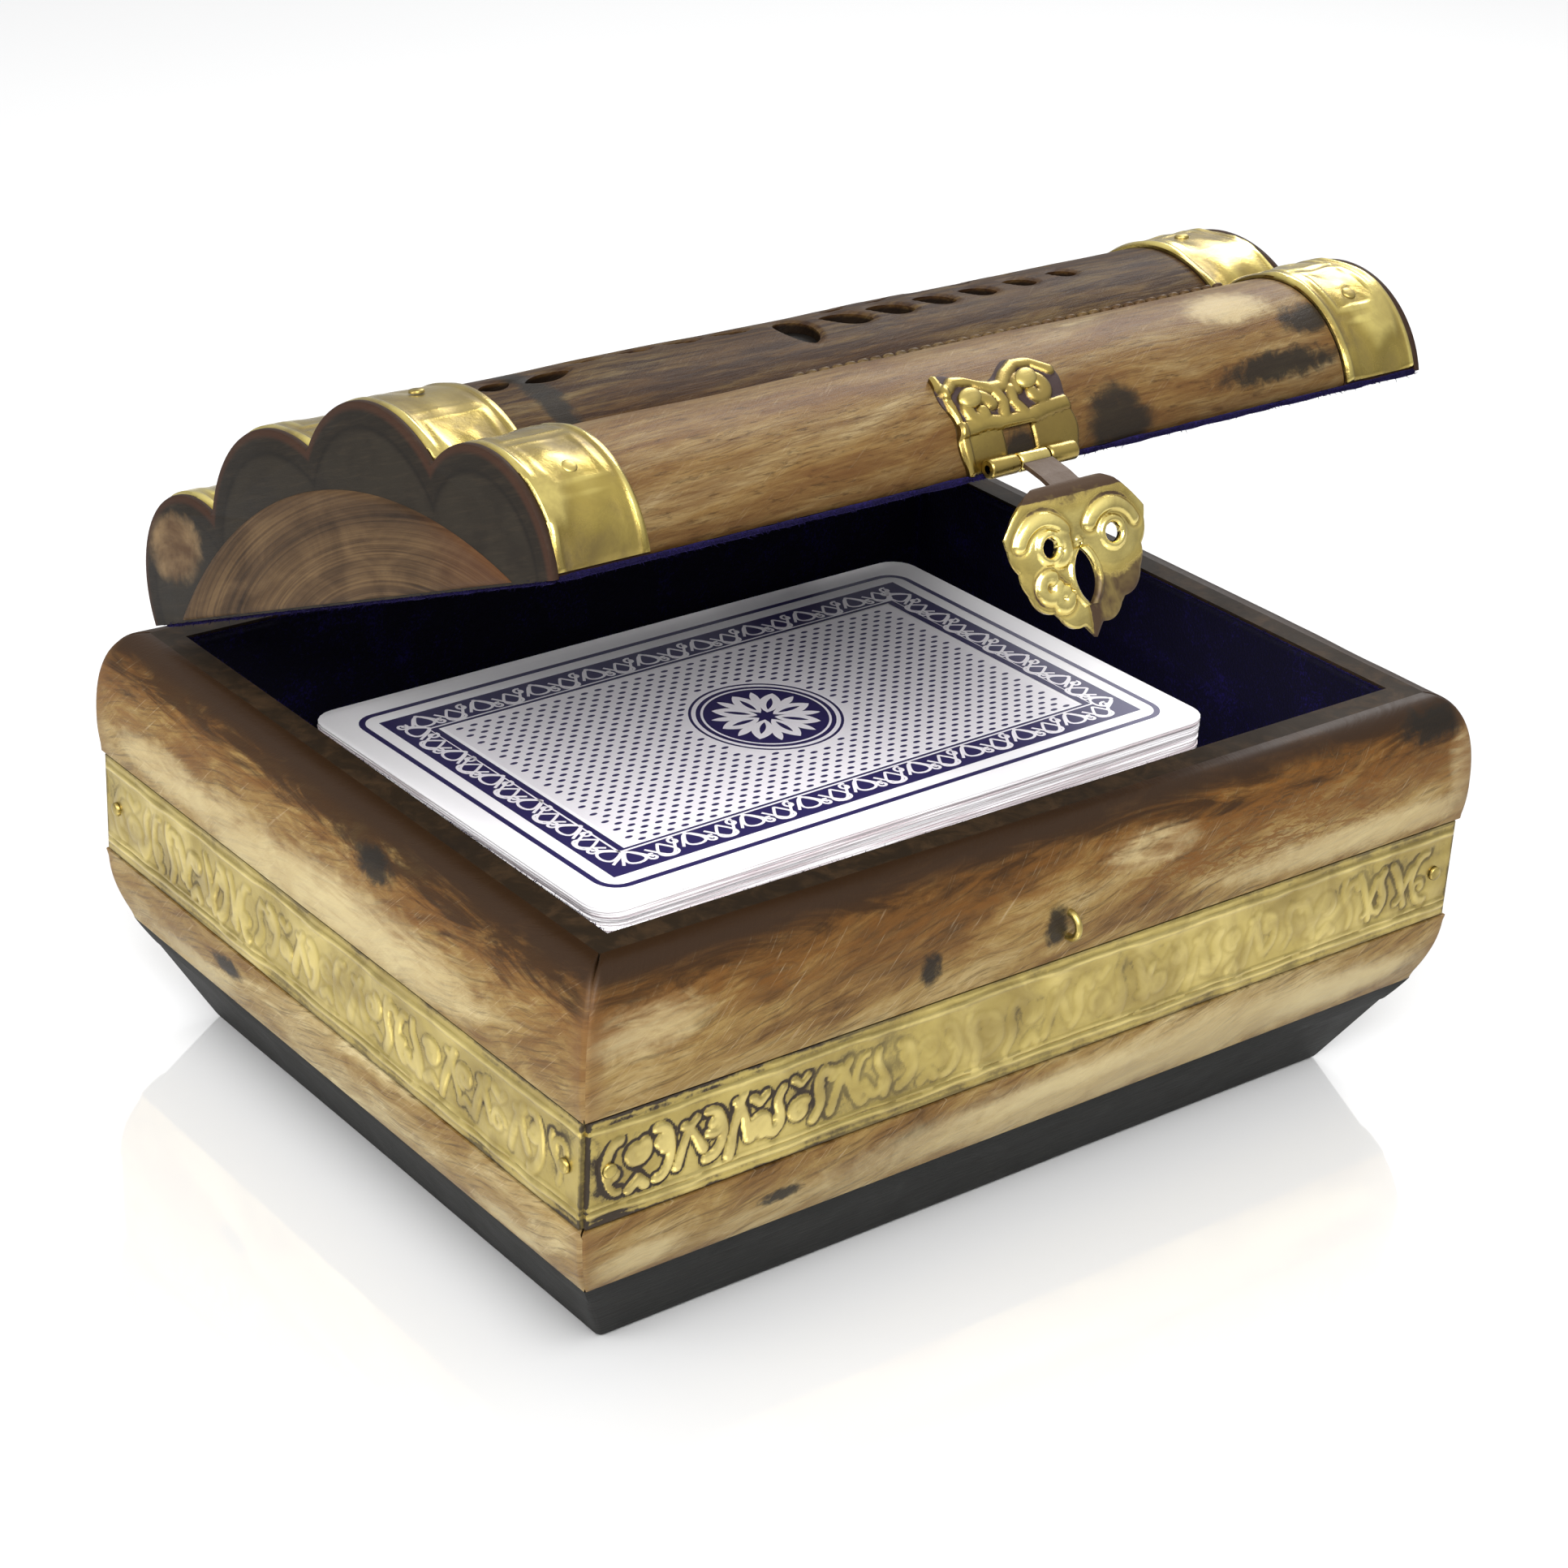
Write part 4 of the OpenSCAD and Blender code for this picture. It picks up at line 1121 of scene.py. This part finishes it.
def pierced(i, middle, way):
    """Leaf-shaped holes along a lobe: a bud in the middle, sprays that shrink towards both ends.

    middle is how far the row lies behind the lobe's crest.
    """
    crest = (math.pi / 2 - lobe_range(i, STRAP_T)[0]) * (LOBES[i][2] - STRAP_T)

    def holes(a, b):
        leaves = [((0, -1.0), 90, 4.9, 4.0), ((-31.5, -0.4), 6, 6.2, 1.8), ((-37.8, -0.2), 6, 4.2, 1.7)]
        for k in range(6):
            x, size = 7.0 + 6.2 * k, 1 - 0.08 * k
            leaves.append(((x, -0.8), -20, 5.9 * size, 2.5 * size))
            leaves.append(((x + 1.6, 2.4), 16, 4.9 * size, 1.6 * size))
            if k < 4:
                leaves.append(((-x, 1.6), 168, 5.7 * size, 1.6 * size))
        b = (b - crest - middle) * way / 1.5
        return np.max([leaf(a + 6.5, b, *shape) for shape in leaves], axis=0)

    return holes


DARK_GROUND = tone(70, 45, 21)
front_bone = lid_bone(
    "cover_front_paint", 0.515, 0.52, DARK_GROUND, pale=[((36, 11.2), (5, 1.6), 3.0)],
    dark=[((38, 4.0), (9, 1.6), 1.0), ((14, 2.6), (4.2, 3.4), 2.0), ((45, 8.5), (4, 1.6), 6.0),
          ((-10, -1.2), (42, 1.4), 4.0), ((0, 1.6), (2.6, 2.4), 8.0)])
back_bone = lid_bone("cover_back_paint", 0.515, 0.48, DARK_GROUND, dark=[((-20, 6), (4, 3), 7.0)],
                     pale=[((20, 9), (10, 3), 8.0)])
middle_bone = lid_bone("cover_mid_paint", 0.57, 0.74, tone(34, 19, 8), dark=[((-41.0, 16), (1.6, 6), 5.0)],
                       gloss=0.05)
cover(3, front_bone)
cover(0, back_bone)
cover(2, middle_bone, pierced(2, -4.6, 1))
cover(1, middle_bone, pierced(1, 2.5, -1))

# The little toothed edge that the front bone plate has along its crest.
teeth = [lobe_nail(FRONT_LOBE, x, 99, -STRAP_T - 0.02, 0.52, 0.5, 1.3) for x in np.arange(-16, 44.5, 1.7)]
make("lid_trim", gather(teeth), lid_bone("trim_paint", 0.55, 0.6, tone(40, 25, 12)), "lid",
     extra=True)

# ---------------------------------------------------------------- hasp


def knuckle(x0, x1):
    """Points and faces of a rolled knuckle with rounded ends on the hasp's pin axis."""
    radius = 1.05
    ends = ((x0, 0.86), (x0 + 0.12, 0.97), (x0 + 0.3, 1.0), (x1 - 0.3, 1.0), (x1 - 0.12, 0.97), (x1, 0.86))
    return loft([
        [on_lid(x, HASP_U, HASP_V) + radius * r * np.array([0, math.cos(t), math.sin(t)]) for t in circle(20)]
        for x, r in ends
    ])


def hasp_plate():
    """The plate on the lid's front, with curled relief, a window and two knuckles."""
    radius = LOBES[FRONT_LOBE][2]
    start, top = (math.asin((v - LOBES[FRONT_LOBE][1]) / radius) for v in (HASP_V - 0.4, 11.4))
    half, height = 8.1, (top - start) * radius
    x, s = np.linspace(-half, half, 120), np.linspace(0, height, 96)

    def inside(a, b):
        crown = height - 1.5 + 1.2 * np.cos((a - 3.6) * 0.62) - 0.05 * np.abs(a - 3)
        sides = half - 0.35 - 0.25 * np.cos(b * 1.1) - np.abs(a)
        window = np.maximum(np.abs(a) - 1.9, np.abs(b - 2.0) - 2.05)
        knuckle_gap = np.maximum(np.abs(a) - 2.15, b - 1.0)
        return np.min([crown - b, sides, b, window, knuckle_gap], axis=0)

    flat, faces = cut_grid(x, s, inside)
    rib_rise, lip_rise, edge_drop = 0.42, 0.3, 0.2
    lines = [
        spiral((-4.2, 6.3), 2.1, 0.3, 0.9), spiral((3.9, 7.4), 2.2, 2.9, -0.9),
        [(-7.2, 9.0), (-5.4, 10.3), (-3.2, 10.0), (-1.4, 8.6), (0.2, 8.6), (1.6, 10.0), (3.4, 11.1),
         (5.4, 10.9), (7.0, 9.4)],
        [(-1.0, 8.4), (-0.6, 6.9), (-1.2, 5.4)], [(1.0, 8.0), (0.6, 6.6), (1.4, 5.2)],
        [(-7.6, 4.7), (-4, 5.1), (-1.8, 4.7), (1.8, 4.7), (4, 5.1), (7.4, 5.3)],
    ]
    distance = near_flat(flat, x, s, lines, 1.3)
    a, b = flat.T
    rib = ridge(np.maximum(distance + 0.1 * wobble(flat, 2.4, 19), 0), 0.82)
    lip = ridge(a + half - 0.9, 0.6)
    bend = 0.08 * wobble(flat, 4, 22)
    lift = rib_rise * rib + lip_rise * lip + bend - edge_drop * (1 - smooth(inside(a, b) / 0.35))
    lower = smooth((4.9 - b) / 0.6)
    relief = np.clip(np.maximum(np.maximum(rib, lip), 0.68 * lower) + 0.05 + bend, 0, 1)
    front, back = (on_lobe(FRONT_LOBE, a, start + b / radius, out) for out in (lift, 0.05 - STRAP_T))
    left, right = knuckle(-5.85, -2.15), knuckle(2.15, 5.85)
    values = np.concatenate([relief, np.full(len(relief), 0.3), np.full(len(left[0]) * 2, 0.9)])
    paint = brass("hasp_plate_paint", 1.2, 0.3, high=tone(162, 142, 78), dark=tone(44, 28, 27),
                  base=tone(114, 95, 50))
    make("hasp_plate", gather([shell(front, back, faces), left, right]), paint, "lid", relief=values)


def hasp_nails():
    heads = [lobe_nail(FRONT_LOBE, x, degrees, 0.1, 1.15, 0.62, 1.35, along=(1, 0, turn))
             for x, degrees, turn in ((-4.6, 29, 0.5), (3.5, 33, 0.9))]
    make("hasp_nails", gather(heads), plain_brass("hasp_nail_paint", 0.3), "lid")


FLAP_STEP, FLAP_T, FLAP_L, SHOULDER = 4.9, 0.5, 18.9, 3.3
SCALLOPS = ((4.9, 7.4, 4.6), (3.9, 11.3, 4.3), (1.9, 14.3, 3.1), (0, 15.6, 2.2))
SLOT_S, SLOT_HL, SLOT_HW = 12.5, 2.95, 1.45
SLOT_R = (SLOT_HL**2 + SLOT_HW**2) / (2 * SLOT_HW)
HOLE_X, HOLE_S, HOLE_R = 4.35, 8.8, 1.0


def from_hole(a, s):
    """Distance out of the flap's nearer round hole."""
    return np.hypot(np.abs(a) - HOLE_X, s - HOLE_S) - HOLE_R


def from_slot(a, s):
    """Distance out of the flap's pointed slot."""
    return np.hypot(np.abs(a) + SLOT_R - SLOT_HW, s - SLOT_S) - SLOT_R


def flap_inside(a, s):
    """Above 0 inside the scalloped leaf, s counted down from the pin."""
    leaf_shape = np.max([r - np.hypot(np.abs(a) - x, s - y) for x, y, r in SCALLOPS], axis=0)
    leaf_shape = leaf_shape + 0.34 * np.abs(np.sin(np.arctan2(np.abs(a), s - 9.5) * 5.5)) - 0.2
    body = np.minimum(6.6 - np.abs(a), np.minimum(9 - s, s - SHOULDER))
    tip = np.minimum(s - 16, (FLAP_L - s) * 0.64 - np.abs(a) * 0.77)
    neck = np.minimum(1.95 - np.abs(a), 6 - s)
    found = np.maximum(np.maximum(leaf_shape, body), tip)
    found = np.minimum(found, s - SHOULDER - 0.12 * np.maximum(np.abs(a) - 4, 0) ** 2)
    return np.min([np.maximum(found, neck), from_hole(a, s), from_slot(a, s)], axis=0)


def flap_profile(s):
    """Forward step and drop of the flap's middle surface for each length s from the pin."""
    knots = (0.0, 0.7, 2.1, 3.4, 3.9, 4.6, 6.0, FLAP_L)
    forward = (0.95, 1.55, 3.25, 4.5, 4.82, FLAP_STEP, FLAP_STEP, FLAP_STEP)
    drop = (0.35, 0.75, 1.9, 2.95, 3.6, 4.45, 6.0, FLAP_L)
    return np.interp(s, knots, forward), np.interp(s, knots, drop)


def hasp_flap():
    """The flap: a knuckle, a cranked neck and an embossed, scalloped leaf in one sheet."""
    reach, steps = 9.6, 150
    rib_rise, groove_drop, puff_rise, edge_drop = 0.3, 0.1, 0.55, 0.12
    x, s = np.linspace(-reach, reach, steps), np.linspace(0, FLAP_L + 0.1, steps)
    flat, faces = cut_grid(x, s, flap_inside)
    a, down = flat.T
    lines = [
        arc((-4.6, 9.4), 3.5, 205, 325), arc((4.6, 9.4), 3.5, 215, 335),
        arc((-3.0, 9.2), 1.2, -60, 110), [(-3.0, 8.0), (-1.9, 8.0), (-1.7, 9.6)],
        arc((-4.9, 12.8), 1.1, 0, 300), arc((-3.4, 14.2), 0.8, 0, 300),
    ]
    distance = near_flat(flat, x, s, lines, 1.4)
    rib, groove = ridge(distance, 0.7), hollow(distance - 0.95, 0.22)
    dot = ridge(np.hypot(a, down - 8.9), 0.55)
    hole_rim = ridge(from_hole(a, down) - 0.4, 0.42)
    slot_rim = ridge(from_slot(a, down) - 0.35, 0.4) * (np.abs(down - SLOT_S) < SLOT_HL)
    proud = np.max([rib, dot, hole_rim, slot_rim], axis=0)
    puff = np.clip(1 - np.hypot((np.abs(a) - 4.4) / 3.9, (down - 8.4) / 3.6), 0, 1)
    lift = rib_rise * proud - groove_drop * groove + puff_rise * puff
    lift -= edge_drop * (1 - smooth(flap_inside(a, down) / 0.3))
    lift += 0.09 * wobble(flat, 3.2, 31) - 0.12 * smooth((np.abs(a) - 5.5) / 3)
    lift *= smooth((down - 4.0) / 0.8)
    relief = 0.75 + 0.3 * proud + 0.25 * puff - 0.5 * groove + 0.12 * wobble(flat, 3, 33)
    relief -= 1.05 * smooth((down - 11.6 + 0.4 * np.abs(a - 4)) / 3.5) * smooth(a + 0.9)
    # Painted shade: the neck and the top of the leaf, below the knuckle, are darkened.
    relief -= 0.45 * smooth((6.2 - down) / 1.6) + 1.2 * smooth((4.4 - down) / 0.5)
    forward, drop = flap_profile(down)
    samples = 400
    tilt = unit(np.gradient(np.stack(flap_profile(np.linspace(0, FLAP_L, samples)), 1), axis=0))
    at = np.clip((down / FLAP_L * (samples - 1)).astype(int), 0, samples - 1)

    def skin(out):
        return on_lid(a, HASP_U + forward + out * tilt[at, 1], HASP_V - drop + out * tilt[at, 0])

    sheet = shell(skin(lift + FLAP_T / 2), skin(np.maximum(lift * 0.8, 0) - FLAP_T / 2), faces)
    roll = knuckle(-1.95, 1.95)
    values = np.concatenate([relief, relief * 0.6, np.full(len(roll[0]), 0.9)])
    paint = brass("hasp_flap_paint", 1.0, 0.2, high=tone(236, 218, 136), dark=tone(56, 38, 20),
                  base=tone(208, 186, 106))
    make("hasp_flap", gather([sheet, roll]), paint, "flap", crease=50, relief=values)


hasp_plate()
hasp_nails()
hasp_flap()

# ---------------------------------------------------------------- velvet


def fuzz(name, roots, outward, count, length, body, seed, lean=0.6):
    """Short stray fibres of the pile along an edge, as thin three-sided spikes."""
    rng = np.random.default_rng(seed)
    pick = rng.integers(0, len(roots) - 1, count)
    share = rng.random(count)[:, None]
    base = roots[pick] * (1 - share) + roots[pick + 1] * share
    way = unit(outward + lean * rng.normal(size=(count, 3)))
    size = length * rng.uniform(0.35, 1.0, count)[:, None]
    side = unit(np.cross(way, rng.normal(size=(count, 3))))
    other = np.cross(way, side)
    thick, scatter = 0.055, 0.1
    base = base + scatter * rng.normal(size=(count, 3))
    corners = [base + thick * (math.cos(t) * side + math.sin(t) * other) for t in (0, 2.1, 4.2)]
    points = np.stack([*corners, base + way * size], 1).reshape(-1, 3)
    sides = ((0, 1, 3), (1, 2, 3), (2, 0, 3), (0, 2, 1))
    faces = [tuple(4 * k + corner for corner in face) for k in range(count) for face in sides]
    make(name, (points, faces), stray_velvet, body, extra=True, fix=False)


dark_velvet = velvet("velvet_paint")
lid_velvet = velvet("lid_velvet_paint", lid=True)
edge_velvet = velvet("velvet_edge_paint", tone(12, 8, 34), tone(44, 30, 112), 0.3, lid=True)
stray_velvet = velvet("velvet_fuzz_paint", tone(14, 9, 40), tone(40, 26, 104), 0.15)


def wall_lining(side, word):
    """The velvet on one inner wall: soft, a little uneven, rolled over at its top edge."""
    run = half_of(side + 1) - LINING_OUT
    top = RIM - 0.4
    roll = top - 0.45 + 0.45 * np.sin(np.linspace(-0.9, 1.5, 7))
    along, z = grid(np.linspace(-1, 1, 90), np.concatenate([np.linspace(FLOOR, top - 1.0, 30), roll]))
    x = along * (run - LINING_T * 0.9)
    thick = LINING_T + 0.12 * wobble(np.stack([x, z, 0 * x + 11 * side], -1), 9, 5) * smooth((top - z) / 3)
    thick = thick - (LINING_T - 0.25) * smooth((z - top + 0.5) / 0.5)
    shape = shell(on_side(side, x, LINING_OUT + thick, z), on_side(side, along * run, LINING_OUT + 0.02, z))
    made = make(f"lining_{word}", shape, dark_velvet, "box", crease=60)
    2 * run * MM
    roots = on_side(side, run * spread_ends(60, 1.8), LINING_OUT + 0.3, top - 0.1)
    out = on_side(side, 0.0, -0.25, 0.6) - on_side(side, 0.0, 0.0, 0.0)
    per_mm = 22
    fuzz(f"lining_fuzz_{word}", roots, out, int(run * per_mm), 0.5, "box", 50 + side)


def floor_lining():
    half_x, half_y = HALF_L - LINING_OUT, HALF_W - LINING_OUT
    dip = 0.05
    x, y = grid(np.linspace(-half_x, half_x, 70), np.linspace(-half_y, half_y, 56))
    z = np.minimum(FLOOR - dip + dip * wobble(np.stack([x, y], -1), 8, 3), FLOOR)
    shape = shell(np.stack([x, y, z], -1), np.stack([x, y, 0 * z + PLINTH_TOP + 0.02], -1))
    made = make("lining_floor", shape, dark_velvet, "box", crease=60)
    2 * half_x * MM
    2 * half_y * MM


for side, word in enumerate(SIDES):
    wall_lining(side, word)
floor_lining()

LID_LINING_T = 0.35


def lid_strip(word, low, high, path, seed, along_x=True):
    """Velvet under the lid: a path of (u, v) points swept along x, or of (x, v) points swept along u."""
    path = np.array(path, float)
    steps = [np.linspace(p, q, max(2, int(np.hypot(*(q - p)) / 1.2)), endpoint=False)
             for p, q in zip(path[:-1], path[1:])]
    line = np.concatenate([*steps, path[-1:]])
    normal = normals(line)
    sweep, k = grid(np.linspace(low, high, int((high - low) / 1.6)), np.arange(len(line)))
    spots = np.stack([sweep, line[k, 0], line[k, 1]], -1)
    soft = LID_LINING_T * (0.85 + 0.15 * wobble(spots, 6, seed))

    def skin(out):
        across, v = (line[k, axis] + normal[k, axis] * out for axis in range(2))
        return on_lid(sweep, across, v) if along_x else on_lid(across, sweep, v)

    made = make(f"lid_lining_{word}", shell(skin(soft), skin(0.02)), lid_velvet, "lid", crease=60)
    (high - low) * MM


front_u = LOBES[FRONT_LOBE][0] + LOBES[FRONT_LOBE][2] - STRAP_T - COVER_T
back_u = LOBES[BACK_LOBE][0] - LOBES[BACK_LOBE][2] + STRAP_T + COVER_T
lid_strip("front", -STRAP_OUT, STRAP_OUT, [(front_u, 0), (SPLITS[2], 0)], 1)
lid_strip("back", -STRAP_OUT, STRAP_OUT, [(SPLITS[0], 0), (back_u, 0)], 2)
lid_strip("left", SPLITS[0], SPLITS[2], [(-STRAP_IN, RECESS_H), (-STRAP_IN, 0), (-STRAP_OUT, 0)],
          3, along_x=False)
lid_strip("right", SPLITS[0], SPLITS[2], [(STRAP_OUT, 0), (STRAP_IN, 0), (STRAP_IN, RECESS_H)],
          4, along_x=False)
lid_strip("top", -STRAP_IN, STRAP_IN,
          [(SPLITS[2], 0), (SPLITS[2], RECESS_H), (SPLITS[0], RECESS_H), (SPLITS[0], 0)],
          5)


def lid_edge():
    """The velvet that shows along the lid's lower edges: a thin uneven rope with stray pile."""
    ropes = []
    fibres_front, fibres_side, low = 3000, 2200, -0.02
    x = np.linspace(-STRAP_OUT, STRAP_OUT, 150)
    u = np.linspace(back_u + 1.0, front_u + 1.0, 110)
    runs = [("front", on_lid(x, front_u + 1.35, low), (0, 1), fibres_front)]
    runs += [(word, on_lid(side * (STRAP_OUT + 0.25), u, low), (side, 0), fibres_side)
             for side, word in LID_ENDS]
    for k, (word, line, way, count) in enumerate(runs):
        out = on_lid(*way, -0.12) - on_lid(0, 0, 0)
        rise = np.cross(unit(line[1] - line[0]), unit(out))
        radius = 0.30 + 0.06 * wobble(line, 1.6, 80 + k)
        ropes.append(loft([
            [p + r * (math.cos(t) * out + math.sin(t) * rise) for t in circle(8)]
            for p, r in zip(line, radius)
        ]))
        fuzz(f"lid_fuzz_{word}", line + 0.15 * out, out, count, 0.7, "lid", 61 + k, lean=0.45)
    make("lid_edge_velvet", gather(ropes), edge_velvet, "lid", extra=True)


lid_edge()

# ---------------------------------------------------------------- cards

CARD_L, CARD_W, CARD_R, CARD_T, DECK_N = 88.9, 57.15, 3.2, 0.289, 54
CARD_FIT = 0.9995
DECK_YAW = math.radians(1.2)
deck_low, deck_high = node_box("deck_lower")
DECK_Y = (deck_low[1] + deck_high[1]) / 2
DECK_Z, DECK_H = deck_low[2], DECK_N * CARD_T
TOP = DECK_Z + 2 * DECK_H
paper = card_paper("card_paper", TOP)


def deck(name, low, yaw, seed):
    """A pack of separate cards, each a little out of line with the next. Gives its top card's middle."""
    rng = np.random.default_rng(seed)
    outline = rounded(CARD_L, CARD_W, CARD_R) * CARD_FIT
    edge = ((0.008, 0.9985), (0.05, 1.0), (CARD_T / 2, 1.0003),
            (CARD_T - 0.05, 1.0), (CARD_T - 0.008, 0.9985))
    parts = []
    slip = np.zeros(2)
    for k in range(DECK_N):
        slip = 0.75 * slip + rng.normal(scale=(0.12, 0.09))
        place = slip + (0.010 * (DECK_N - k), DECK_Y)
        flat = turned(outline, yaw + rng.normal(scale=0.0012), place)
        middle, level = flat.mean(0), low + k * CARD_T
        parts.append(loft([raised((flat - middle) * size + middle, level + z) for z, size in edge]))
    make(name, gather(parts), paper, "cards", crease=35)
    return place


deck("deck_lower", DECK_Z, 0.0, 5)
top_middle = deck("deck_upper", DECK_Z + DECK_H, DECK_YAW, 6)


def stroke(line, width, closed=False):
    """A flat ribbon along a line, as (points, faces) in the card's plane."""
    line = np.asarray(line, float)
    tangent = unit(np.roll(line, -1, 0) - np.roll(line, 1, 0) if closed else np.gradient(line, axis=0))
    normal = np.stack([-tangent[:, 1], tangent[:, 0]], 1) * width / 2
    count = len(line)
    pairs = [(2 * k, 2 * ((k + 1) % count)) for k in range(count if closed else count - 1)]
    points = np.stack([line + normal, line - normal], 1).reshape(-1, 2)
    return points, [(p, p + 1, q + 1, q) for p, q in pairs]


def filled(points):
    """One flat shape, as (points, faces)."""
    return np.asarray(points), [tuple(range(len(points)))]


def oval(centre, a, b, sides=14):
    return filled(polar((0, 0), 1, circle(sides)) * (a, b) + centre)


def petal(turn, near_end, length, width):
    t = np.linspace(0, 1, 12)
    half = width / 2 * np.sin(math.pi * t) ** 0.8
    upper = np.stack([near_end + length * t, half], 1)
    return filled(turned(np.concatenate([upper, (upper * (1, -1))[::-1][1:-1]]), turn))


def print_layer(name, parts, number, paint):
    """Printed shapes on the top card as a thin layer; neighbours lie at slightly different heights."""
    level, step = TOP + 0.014 * number, 0.0008
    lifted = [(raised(turned(flat, DECK_YAW, top_middle), level + step * (k % 11)), faces)
              for k, (flat, faces) in enumerate(parts)]
    made = make(name, gather(lifted), paint, "cards", extra=True, fix=False)
    for polygon in made.data.polygons:
        if polygon.normal.z < 0:
            polygon.flip()


def card_back():
    """The printed back: frames, a looped border, a lattice of ovals and a flower in a ring."""
    margin, depth = 5.9, 4.9
    outer_l, outer_w = CARD_L - 2 * margin, CARD_W - 2 * margin
    inner_l, inner_w = outer_l - 2 * depth, outer_w - 2 * depth
    square = np.array([(-1, -1), (1, -1), (1, 1), (-1, 1)])
    ink, light = [stroke(rounded(CARD_L - 7.6, CARD_W - 7.6, 2.6, 8), 0.75, True)], []
    t, u = np.linspace(0, 2 * math.pi, 24), np.linspace(-2.0, 2.0, 12)
    for sx, sy, length in ((0, 1, outer_l), (0, -1, outer_l), (1, 0, outer_w), (-1, 0, outer_w)):
        middle = np.array([sx * (outer_l - depth) / 2, sy * (outer_w - depth) / 2])
        order = slice(None, None, -1 if sx else 1)
        bar = (length / 2 - depth * abs(sx), depth / 2)
        ink.append(filled((square * bar)[:, order] + middle))
        count, run = int(length / 4.1), length - depth
        for k in range(count):
            s = -run / 2 + run * (k + 0.5) / count
            way = 1 if k % 2 == 0 else -1
            loop = np.stack([s + 1.0 * np.cos(t) - 0.35 * np.sin(2 * t), way * 0.25 + 1.45 * np.sin(t)], 1)
            tail = np.stack([s + u, way * 1.5 * np.cos(1.1 * u)], 1)
            curl = spiral((s + 1.9, -way * 0.9), 0.75, 1.0, 1.1, 0.3, 14)
            light += [stroke(line[:, order] + middle, 0.36) for line in (loop, tail, curl)]
    field = square * (inner_l, inner_w) / 2
    light.append(filled(field * 0.985))
    light.append(stroke(np.concatenate([field, field[:1]]) * 1.03, 0.3))
    lattice, ring = [], 9.4
    pitch_x, pitch_y = 1.95, 1.08
    for row in range(int(inner_w / pitch_y)):
        y = -inner_w / 2 + 0.7 + row * pitch_y
        for column in range(int(inner_l / pitch_x)):
            x = -inner_l / 2 + 1.0 + (column + 0.5 * (row % 2)) * pitch_x
            in_field = abs(x) <= inner_l / 2 - 1.3 and y <= inner_w / 2 - 0.5
            if in_field and math.hypot(x, y) >= ring + 0.4:
                lattice.append(oval((x, y), 0.52, 0.26, 10))
    lattice.append(stroke(arc((0, 0), ring - 0.5, 0, 360, 72), 0.35))
    lattice.append(oval((0, 0), 8.2, 8.2, 64))
    flower = [stroke(arc((0, 0), 7.5, 0, 360, 72), 0.3)]
    eighth = 2 * math.pi / 8
    for k in range(8):
        flower += [petal(eighth * k, 1.0, 5.4, 2.6), petal(eighth * (k + 0.5), 3.0, 3.6, 1.1)]
    veins = [petal(eighth * k, 1.8, 3.2, 0.7) for k in range(8)] + [oval((0, 0), 0.6, 0.6)]
    indigo = card_ink("card_ink", tone(44, 38, 84))
    bare = card_ink("card_unprinted", tone(238, 234, 238), tone(228, 222, 230))
    layers = (("border", ink, indigo), ("scrolls", light, bare), ("lattice", lattice, indigo),
              ("flower", flower, bare), ("veins", veins, indigo))
    for k, (word, parts, paint) in enumerate(layers):
        print_layer(f"card_print_{word}", parts, k + 1, paint)


card_back()

# ---------------------------------------------------------------- CAD nodes that stay

wire_brass = plain_brass("wire_brass", 0.15)
KEPT = {
    "wall_": dark_wood("rim_wood"),
    "lid_rod_": black_wood("rod_wood", lid=True, base=tone(12, 9, 7), worn=tone(24, 18, 13)),
    "hinge_": plain_brass("aged_brass", 0.6),
    "keeper_staple": wire_brass,
    "hasp_pin": wire_brass,
}
for node, thing in frame["nodes"].items():
    for start, paint in KEPT.items():
        if node.startswith(start) and not thing.hide_render:
            thing.data.materials.clear()
            thing.data.materials.append(paint)
